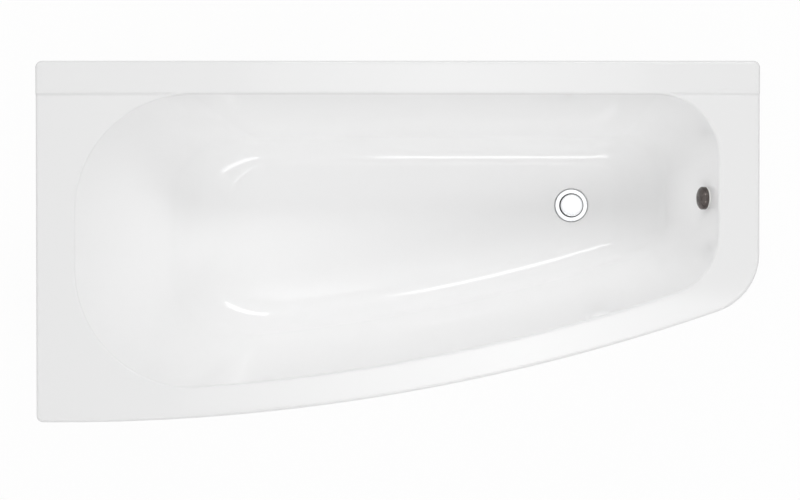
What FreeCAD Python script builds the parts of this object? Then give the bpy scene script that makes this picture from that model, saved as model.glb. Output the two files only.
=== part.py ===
import FreeCAD, Part
import math
import os
from FreeCAD import Vector

# A space-saving corner bath: a vacuum-formed acrylic tub whose front edge bows in towards the waste end,
# with its glass-fibre backing, base board, leg set, wall brackets, front panel, waste and overflow.
# Millimetres. +X runs from the backrest to the waste end, +Y to the wall behind, +Z up.
# The origin is on the floor below the middle of the rim's box.

# Rim, seen from above
bath_length = 1500.0
bath_width = 750.0
foot_end_width = 488.44
bow_centre_from_head = 50.0
nose_radius = 127.0
square_corner_radius = 14.0
rim_at_head = 80.0
rim_at_foot = 84.0
rim_at_back = 69.5
rim_at_front = 64.5
skirt_depth = 40.0
rim_edge_radius = 6.0
ledge_rise = 4.0
ledge_ramp = 3.0

# Basin: slopes are from the vertical, fillets join the walls to the floor.
# A corner's radius is limited by this share of the end wall that it rounds.
basin_depth = 405.0
lip_radius = 5.5
head_slope = 28.0
foot_slope = 12.5
back_slope = 12.0
front_slope = 12.7
head_fillet = 150.0
foot_fillet = 120.0
side_fillet = 68.0
head_corner_radius = 244.0
foot_corner_radius = 130.0
floor_head_corner_radius = 84.0
floor_foot_corner_radius = 60.0
corner_limit = 0.45

# Sheets and boards
sheet = 5.0
bond_gap = 0.5
laminate = 3.0
laminate_below_rim = 15.0
board_thickness = 15.0
board_margin_share = 0.3713
batten_width = 40.0
batten_height = 20.0
front_batten_width = 24.0
batten_from_skirt = 7.0
batten_end_gap = 60.0

# Waste and its sprung plug
waste_from_foot_end = 360.0
waste_hole_radius = 26.0
dish_radius = 41.0
dish_drop = 4.5
flange_radius = 36.0
flange_height = 4.5
flange_edge_radius = 2.4
flange_bore_radius = 21.0
plug_seat_radius = 28.0
plug_seat_depth = 3.7
tail_radius = 23.8
tail_length = 34.0
spoke_height = 5.0
spoke_width = 4.0
boss_radius = 9.0
seal_thickness = 2.0
lower_seal_thickness = 3.0
seal_clearance = 0.5
collar_radius = 38.0
collar_thickness = 4.0
body_radius = 28.0
thread_clearance = 0.2
spigot_length = 20.0
spigot_wall = 3.0
branch_below_board = 3.0
plug_radius = 25.0
plug_crown = 4.5
plug_travel = 8.0
plug_seal_thickness = 3.0
plug_seat_clearance = 0.3
stem_radius = 4.0
slide_clearance = 0.05
cartridge_radius = 6.0
cartridge_collar = 3.0

# Overflow
overflow_from_back = 284.0
overflow_drop = 70.0
overflow_cap_radius = 24.0
overflow_cap_height = 18.0
overflow_cap_wall = 1.6
overflow_bezel_height = 3.0
overflow_bezel_wall = 3.0
overflow_bezel_lip = 4.0
overflow_arm_width = 4.0
overflow_bore_radius = 18.0
overflow_flange_radius = 30.0
overflow_chamber_radius = 24.0
overflow_chamber_length = 42.0
overflow_stub_length = 52.0
pipe_radius = 16.0
pipe_wall = 2.0
pipe_bend_radius = 55.0
branch_length = 62.0
socket_wall = 3.0
union_nut_width = 18.0
union_nut_wall = 5.0
union_nut_rib = 2.0

# Trap
trap_radius = 20.0
trap_wall = 2.0
trap_bend_radius = 38.0
trap_ground_clearance = 14.0
trap_drop = 15.5
trap_outlet_bend_radius = 30.0
trap_outlet_straight = 3.0
trap_outlet_length = 150.0

# Leg set
bar_width = 40.0
bar_height = 25.0
bar_wall = 2.0
head_bar_from_floor_end = 85.0
foot_bar_from_waste = 160.0
foot_from_edge = 92.0
bar_end_past_foot = 28.0
stud_radius = 6.0
stud_clearance = 0.3
stud_above_bar = 28.0
nut_flats = 19.0
nut_height = 10.0
lock_nut_height = 7.0
pad_radius = 28.0
pad_height = 24.0
pad_socket_floor = 8.0
stud_hex_flats = 17.0
stud_hex_height = 8.0

# Front panel and the wall brackets
panel_thickness = 4.0
panel_gap = 0.5
panel_top_gap = 7.0
panel_bottom = 15.0
panel_taper = 25.0
panel_flange = 26.0
panel_past_nose = 30.0
strip_thickness = 3.0
clip_thickness = 2.0
clip_width = 30.0
clip_count = 4
bracket_width = 60.0
bracket_leg = 62.0
bracket_hole_share = 0.6
bracket_screw_share = 0.6
bracket_reach_share = 0.85
bracket_hole_radius = 4.0
bracket_hole_pitch = 36.0
screw_radius = 2.2
screw_head_radius = 4.6
screw_head_height = 2.6
screw_grip = 13.0
bevel = 1.0
touch_gap = 0.3

# Places worked out from the sizes above
head_edge = -bath_length / 2
foot_edge = bath_length / 2
back_edge = bath_width / 2
front_edge = -bath_width / 2
bow_x = head_edge + bow_centre_from_head
bow_run = foot_edge - bow_x
front_sweep = bath_width - foot_end_width
bow_radius = (bow_run ** 2 + front_sweep ** 2) / (2 * front_sweep)
bow_y = front_edge + bow_radius
open_head = head_edge + rim_at_head
open_foot = foot_edge - rim_at_foot
open_back = back_edge - rim_at_back
open_bow = bow_radius - rim_at_front

# Heights from the ground up: trap, waste body, legs, base board, basin and rim
laminate_skin = sheet + bond_gap
outer_skin = laminate_skin + laminate
trap_centre = trap_ground_clearance + trap_radius + trap_bend_radius
spigot_bottom = trap_centre + trap_drop
body_bottom = spigot_bottom + spigot_length
branch_height = body_bottom + pipe_radius + trap_wall
board_bottom = branch_height + pipe_radius + union_nut_wall + union_nut_rib + branch_below_board
bar_bottom = board_bottom - bar_height
floor_top = board_bottom + board_thickness + outer_skin
dish_top = floor_top - dish_drop
rim_height = floor_top + basin_depth
deck_under = rim_height - sheet
skirt_bottom = rim_height - skirt_depth

pieces = {}


def bow_front(radius, x):
    """Y of the bowed front line of this radius at x."""
    return bow_y - math.sqrt(radius ** 2 - (x - bow_x) ** 2)


def on_bow(radius, x, z=0.0):
    """The point at x on the bowed front line of this radius."""
    return Vector(x, bow_front(radius, x), z)


def outline(head, foot, back, bow, radii, z):
    """Closed plan of the bath's form: three straight sides, the bowed front and four tangent corner arcs.

    radii are the corners head-back, foot-back, foot-front and head-front.
    """
    head_back, foot_back, foot_front, head_front = radii
    bow_centre = Vector(bow_x, bow_y, z)
    nose = Vector(foot - foot_front, bow_front(bow - foot_front, foot - foot_front), z)
    chin = Vector(head + head_front, bow_front(bow - head_front, head + head_front), z)
    nose_way = (nose - bow_centre).normalize()
    chin_way = (chin - bow_centre).normalize()
    right = Vector(1, 0, 0)
    left = Vector(-1, 0, 0)
    up = Vector(0, 1, 0)
    back_foot = Vector(foot - foot_back, back - foot_back, z)
    back_head = Vector(head + head_back, back - head_back, z)
    corners = [
        (back_foot, foot_back, up, right),
        (nose, foot_front, right, nose_way),
        (bow_centre, bow, nose_way, chin_way),
        (chin, head_front, chin_way, left),
        (back_head, head_back, left, up),
    ]
    arcs = []
    for centre, radius, first, last in corners:
        middle = (first + last).normalize()
        ends = [centre + way * radius for way in (first, middle, last)]
        arcs.append(Part.Arc(*ends).toShape())
    foot_line = Part.makeLine(arcs[0].valueAt(arcs[0].LastParameter), arcs[1].valueAt(arcs[1].FirstParameter))
    head_line = Part.makeLine(arcs[3].valueAt(arcs[3].LastParameter), arcs[4].valueAt(arcs[4].FirstParameter))
    back_line = Part.makeLine(arcs[4].valueAt(arcs[4].LastParameter), arcs[0].valueAt(arcs[0].FirstParameter))
    return Part.Wire([back_line, arcs[0], foot_line, arcs[1], arcs[2], arcs[3], head_line, arcs[4]])


def rim_outline(inward, z):
    """The rim's outer plan, moved inward."""
    square = square_corner_radius - inward
    nose = nose_radius - inward
    return outline(head_edge + inward, foot_edge - inward, back_edge - inward, bow_radius - inward,
                   (square, square, nose, square), z)


def inset(slope, fillet, depth, skin=0.0):
    """How far a basin wall has come in at this depth below the deck.

    From the top: the rounded lip, the straight sloping wall, and the fillet onto the floor.
    skin moves the wall outward, square to itself.
    """
    lean = math.radians(slope)
    centre_depth = basin_depth - fillet
    wall_end = centre_depth + (fillet + skin) * math.sin(lean)
    lip_end = lip_radius * (1 - math.sin(lean))
    if skin == 0 and depth < lip_end:
        turn = math.acos(1 - depth / lip_radius)
        return lip_radius * ((math.sin(lean) - 1) / math.cos(lean) + math.sin(turn))
    if depth <= wall_end:
        return depth * math.tan(lean) - skin / math.cos(lean)
    centre_inset = (centre_depth + fillet * math.sin(lean)) * math.tan(lean) + fillet * math.cos(lean)
    rise = min(1.0, (depth - centre_depth) / (fillet + skin))
    return centre_inset - (fillet + skin) * math.sqrt(1 - rise ** 2)


def basin_section(depth, skin=0.0, margin=0.0):
    """Plan of the basin at one depth below the deck, moved outward by skin and inward by margin.

    The corners tighten towards the floor.
    """
    level = min(depth, basin_depth)
    back_in = inset(back_slope, side_fillet, level)
    share = back_in / inset(back_slope, side_fillet, basin_depth)
    bow = open_bow - inset(front_slope, side_fillet, level)
    head_width = open_back - back_in - bow_front(bow, open_head + inset(head_slope, head_fillet, level))
    foot_width = open_back - back_in - bow_front(bow, open_foot - inset(foot_slope, foot_fillet, level))
    head_round = head_corner_radius + (floor_head_corner_radius - head_corner_radius) * share
    foot_round = foot_corner_radius + (floor_foot_corner_radius - foot_corner_radius) * share
    head_round = min(head_round, corner_limit * head_width) + skin - margin
    foot_round = min(foot_round, corner_limit * foot_width) + skin - margin
    return outline(open_head + inset(head_slope, head_fillet, depth, skin) + margin,
                   open_foot - inset(foot_slope, foot_fillet, depth, skin) - margin,
                   open_back - inset(back_slope, side_fillet, depth, skin) - margin,
                   open_bow - inset(front_slope, side_fillet, depth, skin) - margin,
                   (head_round, foot_round, foot_round, head_round), rim_height - depth)


def basin_body(top_depth, skin):
    """The basin's form as a solid: straight sloping walls from top_depth, then the fillets onto the floor.

    The bathed face runs smoothly through its sections, the hidden faces run straight between them.
    """
    fillet_ends = []
    for slope, fillet in ((head_slope, head_fillet), (foot_slope, foot_fillet),
                          (back_slope, side_fillet), (front_slope, side_fillet)):
        fillet_ends.append(basin_depth - fillet * (1 - math.sin(math.radians(slope))))
    straight_end = min(fillet_ends) - lip_radius
    bottom = basin_depth + skin
    walls = Part.makeLoft([basin_section(top_depth, skin), basin_section(straight_end, skin)], True, True)
    shares = (0.0, 0.25, 0.47, 0.66, 0.82, 0.93, 0.985, 1.0)
    depths = [straight_end + share * (bottom - straight_end) for share in shares]
    foot = Part.makeLoft([basin_section(depth, skin) for depth in depths], True, skin > 0)
    return walls.fuse(foot)


def lip_body(straight=0.0):
    """The rounded mouth of the basin, from the deck down to the walls and straight further down them."""
    turns = (0, 20, 38, 56, 73, 90)
    depths = [lip_radius * (1 - math.cos(math.radians(turn))) for turn in turns]
    if straight > 0:
        depths.append(lip_radius + straight)
    return Part.makeLoft([basin_section(depth) for depth in depths], True, True)


def prism(wire, height):
    return Part.Face(wire).extrude(Vector(0, 0, height))


def profile_face(points, placer):
    """A flat face from corner points; a point given as a pair of points is an arc's middle and end."""
    def end_of(point):
        return point[1] if isinstance(point[0], tuple) else point
    edges = []
    here = end_of(points[-1])
    for point in points:
        there = end_of(point)
        if isinstance(point[0], tuple):
            edges.append(Part.Arc(placer(*here), placer(*point[0]), placer(*there)).toShape())
        elif here != there:
            edges.append(Part.makeLine(placer(*here), placer(*there)))
        here = there
    return Part.Face(Part.Wire(edges))


def turned(points, x=0.0, y=0.0):
    """A round piece about a vertical axis, from (radius, height) points."""
    face = profile_face(points, lambda radius, height: Vector(x + radius, y, height))
    return face.revolve(Vector(x, y, 0), Vector(0, 0, 1), 360)


def dome(radius, base, top):
    """Arc of a round crown, from its edge at height base up to the axis at height top: middle and end."""
    rise = top - base
    sphere = (radius ** 2 + rise ** 2) / (2 * rise)
    half = math.asin(radius / sphere) / 2
    middle = (sphere * math.sin(half), top - sphere * (1 - math.cos(half)))
    return (middle, (0, top))


def edge_round(radius, top, size):
    """Quarter round of a turned piece's upper edge: the arc's middle and its end on the top face."""
    cut_back = size * (1 - math.sin(math.pi / 4))
    return ((radius - cut_back, top - cut_back), (radius - size, top))


def ring(outer, inner, bottom, top, x=0.0, y=0.0):
    return turned([(inner, bottom), (outer, bottom), (outer, top), (inner, top)], x, y)


def rod(radius, bottom, top, x=0.0, y=0.0):
    return Part.makeCylinder(radius, top - bottom, Vector(x, y, bottom))


def box(x_low, x_high, y_low, y_high, z_low, z_high):
    return Part.makeBox(x_high - x_low, y_high - y_low, z_high - z_low, Vector(x_low, y_low, z_low))


def along_x(points, x_low, x_high):
    """A profile of (y, z) points carried along X."""
    face = profile_face(points, lambda y, z: Vector(x_low, y, z))
    return face.extrude(Vector(x_high - x_low, 0, 0))


def along_y(points, y_low, y_high):
    """A profile of (x, z) points carried along Y."""
    face = profile_face(points, lambda x, z: Vector(x, y_low, z))
    return face.extrude(Vector(0, y_high - y_low, 0))


def hexagon(flats, bottom, top, x, y):
    radius = flats / math.sqrt(3)
    corners = [Vector(x + radius * math.cos(math.radians(60 * k)),
                      y + radius * math.sin(math.radians(60 * k)), bottom) for k in range(7)]
    return prism(Part.makePolygon(corners), top - bottom)


def bent_tube(start, way, moves, radius, wall):
    """A pipe of straight runs, given as lengths, and quarter bends, given as (new direction, bend radius)."""
    here = start
    heading = way
    stretches = []
    for move in moves:
        outer = Part.Face(Part.Wire([Part.makeCircle(radius, here, heading)]))
        section = outer.cut(Part.Face(Part.Wire([Part.makeCircle(radius - wall, here, heading)]))).Faces[0]
        if isinstance(move, tuple):
            turn_to, bend_radius = move
            stretches.append(section.revolve(here + turn_to * bend_radius, heading.cross(turn_to), 90))
            here = here + (heading + turn_to) * bend_radius
            heading = turn_to
        else:
            stretches.append(section.extrude(heading * move))
            here = here + heading * move
    return stretches[0].fuse(stretches[1:]).removeSplitter()


def screw(x, y, seat, grip=screw_grip, way=1):
    """A flat-topped screw: its head stands off the seat height against way, its shank runs along way."""
    low = seat - way * screw_head_height
    tip = seat + way * grip
    return turned([(0, low), (screw_head_radius, low), (screw_head_radius, seat), (screw_radius, seat),
                   (screw_radius, tip), (0, tip)], x, y)


def screw_hole(x, y, seat):
    """The hole that such a screw leaves in what it holds."""
    return rod(screw_radius + slide_clearance, seat - touch_gap, seat + screw_grip + touch_gap, x, y)


# Acrylic shell: the deck with its down-turned skirt, the raised ledge along the wall, and the basin

def wall_side(height, shift):
    """Half-space of the ledge: behind a ramped line along the back of the basin, up to height."""
    start = ledge_front + shift
    return along_x([(start, skirt_bottom - shift), (start, height - ledge_rise), (start + ledge_ramp, height),
                    (back_edge + sheet, height), (back_edge + sheet, skirt_bottom - shift)],
                   head_edge - sheet, foot_edge + sheet)


def rounded_top(height):
    body = prism(rim_outline(0, skirt_bottom), height - skirt_bottom)
    top = [edge for edge in body.Edges if all(abs(v.Z - height) < 1e-6 for v in edge.Vertexes)]
    return body.makeFillet(rim_edge_radius, top)


ledge_front = open_back - ledge_ramp / 2
ledge_zone = wall_side(rim_height + ledge_rise, 0.0)
deck = rounded_top(rim_height)
ledge = rounded_top(rim_height + ledge_rise).common(ledge_zone)
under_deck = prism(rim_outline(sheet, skirt_bottom - sheet), deck_under - skirt_bottom + sheet)
under_ledge = prism(rim_outline(sheet, skirt_bottom - sheet), deck_under + ledge_rise - skirt_bottom + sheet)
under_ledge = under_ledge.common(wall_side(deck_under + ledge_rise, sheet))
rim = deck.fuse(ledge).cut(under_deck).cut(under_ledge)

floor_head = open_head + inset(head_slope, head_fillet, basin_depth)
floor_back = open_back - inset(back_slope, side_fillet, basin_depth)
floor_bow = open_bow - inset(front_slope, side_fillet, basin_depth)
waste_x = foot_edge - waste_from_foot_end
waste_y = (floor_back + bow_front(floor_bow, waste_x)) / 2
overflow_y = back_edge - overflow_from_back

overflow_lean = math.radians(foot_slope)
overflow_seat = Vector(open_foot - overflow_drop * math.tan(overflow_lean), overflow_y,
                       rim_height - overflow_drop)
overflow_way = Vector(-math.cos(overflow_lean), 0, math.sin(overflow_lean))
overflow_place = FreeCAD.Placement(overflow_seat, FreeCAD.Rotation(Vector(0, 0, 1), overflow_way))


def at_overflow(shape):
    """Move a piece made about +Z, with the wall's inner face at height 0, onto the end wall."""
    moved = shape.copy()
    moved.Placement = overflow_place
    return moved


basin_outside = basin_body(sheet / 2, sheet)
lip_at_ledge = lip_body(ledge_rise)
lip_at_ledge.translate(Vector(0, ledge_rise * math.tan(math.radians(back_slope)), ledge_rise))
mouth = lip_body().cut(ledge_zone).fuse(lip_at_ledge.common(ledge_zone))
basin_inside = basin_body(lip_radius, 0.0).fuse(mouth)
dish_outside = rod(dish_radius + sheet, dish_top - sheet, floor_top, waste_x, waste_y)
dish_inside = turned([(0, dish_top), (dish_radius - dish_drop, dish_top), (dish_radius, floor_top),
                      (dish_radius, floor_top + sheet), (0, floor_top + sheet)], waste_x, waste_y)
waste_hole = rod(waste_hole_radius, dish_top - 2 * sheet, floor_top, waste_x, waste_y)
overflow_hole = at_overflow(rod(overflow_bore_radius + touch_gap, -4 * sheet, 4 * sheet))
shell = rim.fuse([basin_outside, dish_outside]).cut([basin_inside, dish_inside, waste_hole, overflow_hole])
pieces["acrylic_shell"] = shell.removeSplitter()

# Glass-fibre backing sprayed on the basin's hidden face, open round the waste dish and the overflow

backing_top = sheet + laminate_below_rim
backing = basin_body(backing_top, outer_skin).cut(basin_body(backing_top - laminate, laminate_skin))
dish_clearance_radius = dish_radius + sheet + bond_gap
dish_clearance = rod(dish_clearance_radius, bar_bottom, floor_top, waste_x, waste_y)
overflow_clearance = at_overflow(rod(overflow_bore_radius + sheet, -8 * sheet, 4 * sheet))
pieces["glass_fibre_backing"] = backing.cut([dish_clearance, overflow_clearance])

# Base board under the floor, and timber battens under the rim

head_bar_x = floor_head + head_bar_from_floor_end
foot_bar_x = waste_x - foot_bar_from_waste
room_beside_dish = floor_bow - math.hypot(waste_x - bow_x, bow_y - waste_y) - dish_clearance_radius
board_margin = board_margin_share * room_beside_dish
board_plan = basin_section(basin_depth, 0.0, board_margin)
board_plan.translate(Vector(0, 0, board_bottom - floor_top))
board = prism(board_plan, board_thickness).cut(dish_clearance)
bar_screw_places = []
for bar_x in (head_bar_x, foot_bar_x):
    board_front = bow_front(floor_bow - board_margin, bar_x)
    board_depth = floor_back - board_margin - board_front
    for share in (0.12, 0.38, 0.62, 0.88):
        bar_screw_places.append((bar_x, board_front + share * board_depth))
web_under = board_bottom - bar_wall
pieces["base_board"] = board.cut([screw_hole(x, y, web_under) for x, y in bar_screw_places])

batten_out = sheet + batten_from_skirt
batten_in = batten_out + batten_width
back_batten_top = deck_under + ledge_rise
back_batten = box(open_head, open_foot, back_edge - batten_in, back_edge - batten_out,
                  back_batten_top - batten_height, back_batten_top)
side_batten_back = back_edge - batten_in - batten_end_gap / 4
head_batten = box(head_edge + batten_out, head_edge + batten_in, front_edge + batten_in + batten_end_gap / 2,
                  side_batten_back, deck_under - batten_height, deck_under)
nose_end = bow_front(bow_radius - nose_radius, foot_edge - nose_radius)
foot_batten = box(foot_edge - batten_in, foot_edge - batten_out, nose_end + batten_end_gap,
                  side_batten_back, deck_under - batten_height, deck_under)
front_batten_outer = bow_radius - sheet - batten_from_skirt - panel_thickness - front_batten_width / 2
front_batten_inner = front_batten_outer - front_batten_width
front_batten_ends = (open_head, foot_edge - nose_radius - batten_end_gap)


def front_strip(outer, inner, x_low, x_high, bottom, top):
    """A strip that follows the bowed front between two radii and two ends."""
    middle = (x_low + x_high) / 2
    edges = [
        Part.Arc(*[on_bow(outer, x, bottom) for x in (x_low, middle, x_high)]).toShape(),
        Part.makeLine(on_bow(outer, x_high, bottom), on_bow(inner, x_high, bottom)),
        Part.Arc(*[on_bow(inner, x, bottom) for x in (x_high, middle, x_low)]).toShape(),
        Part.makeLine(on_bow(inner, x_low, bottom), on_bow(outer, x_low, bottom)),
    ]
    return prism(Part.Wire(edges), top - bottom)


batten_under = deck_under - batten_height
front_batten = front_strip(front_batten_outer, front_batten_inner, *front_batten_ends,
                           batten_under, deck_under)

# Wall brackets: joggled steel strips from the battens, round the skirt, to the wall

bracket_screw_from_wall = batten_out + batten_width * bracket_screw_share


def bracket_profile(under):
    """A joggled strip as (distance from the wall, height) points; under is the batten's lower face."""
    joggle = skirt_bottom - 2 * strip_thickness
    out = batten_out - strip_thickness
    reach = batten_out + batten_width * bracket_reach_share
    return [(reach, under), (out, under), (out, joggle), (0, joggle), (0, joggle - bracket_leg),
            (strip_thickness, joggle - bracket_leg), (strip_thickness, joggle - strip_thickness),
            (batten_out, joggle - strip_thickness), (batten_out, under - strip_thickness),
            (reach, under - strip_thickness)]


bracket_hole_height = skirt_bottom - 2 * strip_thickness - bracket_leg * bracket_hole_share
bracket_steps = (-bracket_hole_pitch / 2, bracket_hole_pitch / 2)
back_bracket_under = back_batten_top - batten_height
back_bracket_places = (open_head + head_corner_radius, open_foot - foot_corner_radius - bracket_width)
head_bracket_y = (side_batten_back + front_edge) / 2
bracket_screws = []
back_batten_holes = []
for name, place in zip(("wall_bracket_back_head", "wall_bracket_back_foot"), back_bracket_places):
    strip = along_x([(back_edge - away, height) for away, height in bracket_profile(back_bracket_under)],
                    place - bracket_width / 2, place + bracket_width / 2)
    for step in bracket_steps:
        wall_hole = Part.makeCylinder(bracket_hole_radius, 2 * strip_thickness,
                                      Vector(place + step, back_edge + touch_gap, bracket_hole_height),
                                      Vector(0, -1, 0))
        spot = (place + step, back_edge - bracket_screw_from_wall, back_bracket_under - strip_thickness)
        strip = strip.cut([wall_hole, screw_hole(*spot)])
        back_batten_holes.append(screw_hole(*spot))
        bracket_screws.append(screw(*spot))
    pieces[name] = strip

head_strip = along_y([(head_edge + away, height) for away, height in bracket_profile(batten_under)],
                     head_bracket_y - bracket_width / 2, head_bracket_y + bracket_width / 2)
head_batten_holes = []
for step in bracket_steps:
    wall_hole = Part.makeCylinder(bracket_hole_radius, 2 * strip_thickness,
                                  Vector(head_edge - touch_gap, head_bracket_y + step, bracket_hole_height),
                                  Vector(1, 0, 0))
    spot = (head_edge + bracket_screw_from_wall, head_bracket_y + step, batten_under - strip_thickness)
    head_strip = head_strip.cut([wall_hole, screw_hole(*spot)])
    head_batten_holes.append(screw_hole(*spot))
    bracket_screws.append(screw(*spot))
pieces["wall_bracket_head"] = head_strip
pieces["bracket_screws"] = Part.makeCompound(bracket_screws)
pieces["rim_batten_back"] = back_batten.cut(back_batten_holes)
pieces["rim_batten_head"] = head_batten.cut(head_batten_holes)
pieces["rim_batten_foot"] = foot_batten

# Front panel: a formed sheet behind the skirt that leans in to a toe space, with a turned-in bottom flange

panel_outer = sheet + panel_gap
panel_top = deck_under - panel_top_gap


def panel_outline(inward, z):
    """Plan of the panel's face: the bowed front and the nose move inward, the wall sides stay at the rim."""
    nose = nose_radius - inward
    return outline(head_edge, foot_edge - inward, back_edge, bow_radius - inward,
                   (square_corner_radius, square_corner_radius, nose, sheet), z)


def panel_form(inward, top, bottom):
    lower = panel_outline(inward + panel_taper, bottom)
    return Part.makeLoft([lower, panel_outline(inward, top)], True, True)


panel_head_end = head_edge + square_corner_radius + panel_gap
panel_keep = box(panel_head_end, foot_edge, front_edge, nose_end + panel_past_nose, 0, rim_height)
flange_top = panel_bottom + panel_thickness
panel_wall = panel_form(panel_outer, panel_top, panel_bottom)
panel_wall = panel_wall.cut(panel_form(panel_outer + panel_thickness, panel_top, panel_bottom))
panel_inner = panel_outer + panel_taper
panel_return = prism(panel_outline(panel_inner + panel_thickness / 2, panel_bottom), panel_thickness)
panel_opening = prism(panel_outline(panel_inner + panel_flange, panel_bottom), panel_thickness)
panel = panel_wall.fuse(panel_return.cut(panel_opening)).common(panel_keep)

# Clips on the front batten that press the panel's top edge against the skirt

clip_screws = []
clip_strips = []
front_batten_holes = []
clip_inner_face = panel_outer + panel_thickness + touch_gap
for index in range(clip_count):
    share = (index + 0.5) / clip_count
    clip_x = front_batten_ends[0] + share * (front_batten_ends[1] - front_batten_ends[0])
    on_edge = on_bow(bow_radius, clip_x)
    inward = (Vector(bow_x, bow_y, 0) - on_edge).normalize()
    reach = bow_radius - front_batten_inner - front_batten_width / 4
    lean = (panel_top - batten_under) / (panel_top - panel_bottom) * panel_taper
    foot_out = clip_inner_face + lean
    points = [(foot_out, batten_under - clip_thickness), (reach, batten_under - clip_thickness),
              (reach, batten_under), (foot_out + clip_thickness, batten_under),
              (clip_inner_face + clip_thickness, panel_top), (clip_inner_face, panel_top)]
    face = profile_face(points, lambda away, z: on_edge + inward * away + Vector(0, 0, z))
    sideways = Vector(-inward.y, inward.x, 0) * clip_width
    strip = face.extrude(sideways)
    strip.translate(sideways * -0.5)
    hold = on_edge + inward * (bow_radius - front_batten_inner - front_batten_width / 2)
    spot = (hold.x, hold.y, batten_under - clip_thickness)
    clip_strips.append(strip.cut(screw_hole(*spot)))
    front_batten_holes.append(screw_hole(*spot))
    clip_screws.append(screw(*spot))
pieces["panel_clips"] = Part.makeCompound(clip_strips)
pieces["clip_screws"] = Part.makeCompound(clip_screws)
pieces["rim_batten_front"] = front_batten.cut(front_batten_holes)

# Leg set: two channel bars across the base board, each on two screw feet

weld_nuts = []
lock_nuts = []
panel_strips = []
panel_screws = []
panel_holes = []
web_top = board_bottom
stud_hole_radius = stud_radius + stud_clearance


def channel(x, y_low, y_high):
    """A bent steel channel, open below, with its web against the board."""
    half = bar_width / 2
    hollow = half - bar_wall
    return along_y([(x - half, bar_bottom), (x - half, web_top), (x + half, web_top), (x + half, bar_bottom),
                    (x + hollow, bar_bottom), (x + hollow, web_under), (x - hollow, web_under),
                    (x - hollow, bar_bottom)], y_low, y_high)


def screw_foot(name, x, y):
    """A threaded stud with its spanner hexagon, standing in a moulded swivel pad."""
    hex_bottom = pad_height + touch_gap
    stud = rod(stud_radius, pad_socket_floor, web_top + stud_above_bar, x, y)
    stud = stud.fuse(hexagon(stud_hex_flats, hex_bottom, hex_bottom + stud_hex_height, x, y))
    neck = pad_radius / 2
    socket = stud_radius + slide_clearance
    shoulder = pad_height / 4
    pad = turned([(0, 0), (pad_radius - bevel, 0), (pad_radius, bevel), (pad_radius, shoulder),
                  (neck, pad_height / 2), (neck, pad_height),
                  (socket, pad_height), (socket, pad_socket_floor), (0, pad_socket_floor)], x, y)
    pieces["foot_stud_" + name] = stud
    pieces["foot_pad_" + name] = pad


bar_screws = [screw(x, y, web_under) for x, y in bar_screw_places]
for end, bar_x in (("head", head_bar_x), ("foot", foot_bar_x)):
    back_foot_y = back_edge - foot_from_edge
    front_foot_y = bow_front(bow_radius, bar_x) + foot_from_edge
    bar_front = front_foot_y - bar_end_past_foot
    bar = channel(bar_x, bar_front, back_foot_y + bar_end_past_foot)
    for side, foot_y in (("back", back_foot_y), ("front", front_foot_y)):
        bore = rod(stud_hole_radius, bar_bottom, web_top, bar_x, foot_y)
        bar = bar.cut(bore)
        weld_nuts.append(hexagon(nut_flats, web_under - nut_height, web_under, bar_x, foot_y).cut(bore))
        lock_top = web_under - nut_height
        lock_nuts.append(hexagon(nut_flats, lock_top - lock_nut_height, lock_top, bar_x, foot_y).cut(bore))
        screw_foot(side + "_" + end, bar_x, foot_y)
    bar = bar.cut([screw_hole(x, y, web_under) for x, y in bar_screw_places if x == bar_x])
    pieces["cross_bar_" + end] = bar

    # Strip from the bar's front end down to the panel's bottom flange
    flange_out = bow_front(bow_radius - panel_inner - panel_thickness - bevel, bar_x + bar_width / 2)
    panel_strips.append(along_x([(bar_front, web_top), (bar_front, flange_top + clip_thickness),
                                 (bar_front, flange_top), (flange_out, flange_top),
                                 (flange_out, flange_top + clip_thickness),
                                 (bar_front - clip_thickness, flange_top + clip_thickness),
                                 (bar_front - clip_thickness, web_top)],
                                bar_x - bar_width / 4, bar_x + bar_width / 4))
    screw_y = (flange_out + bow_front(bow_radius - panel_inner - panel_flange, bar_x)) / 2
    head_top = flange_top + clip_thickness
    panel_screws.append(screw(bar_x, screw_y, head_top, panel_thickness + clip_thickness, -1))
    panel_holes.append(rod(screw_radius + slide_clearance, 0, head_top + touch_gap, bar_x, screw_y))

pieces["front_panel"] = panel.cut(panel_holes)
pieces["panel_strips"] = Part.makeCompound([strip.cut(panel_holes) for strip in panel_strips])
pieces["panel_screws"] = Part.makeCompound(panel_screws)
pieces["bar_screws"] = Part.makeCompound(bar_screws)
pieces["foot_weld_nuts"] = Part.makeCompound(weld_nuts)
pieces["foot_lock_nuts"] = Part.makeCompound(lock_nuts)

# Waste: the chrome flange in its dish, clamped through the shell to the body below

flange_seat = dish_top + seal_thickness
tail_end = flange_seat - tail_length
flange_rim = flange_seat + flange_height
flange = turned([
    (flange_bore_radius, tail_end), (tail_radius, tail_end), (tail_radius, flange_seat),
    (flange_radius, flange_seat), (flange_radius, flange_rim - flange_edge_radius),
    edge_round(flange_radius, flange_rim, flange_edge_radius),
    (plug_seat_radius + bevel, flange_rim), (plug_seat_radius, flange_rim - bevel),
    (flange_bore_radius, flange_rim - plug_seat_depth)], waste_x, waste_y)
spoke_top = tail_end + spoke_height
boss = rod(boss_radius, tail_end, spoke_top, waste_x, waste_y)
spoke_reach = (flange_bore_radius + tail_radius) / 2
spokes = [box(waste_x - spoke_reach, waste_x + spoke_reach, waste_y - spoke_width / 2,
              waste_y + spoke_width / 2, tail_end, spoke_top),
          box(waste_x - spoke_width / 2, waste_x + spoke_width / 2, waste_y - spoke_reach,
              waste_y + spoke_reach, tail_end, spoke_top)]
cartridge_bore = rod(cartridge_radius + slide_clearance, tail_end, spoke_top, waste_x, waste_y)
pieces["waste_flange"] = flange.fuse([boss] + spokes).cut(cartridge_bore).removeSplitter()

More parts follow.
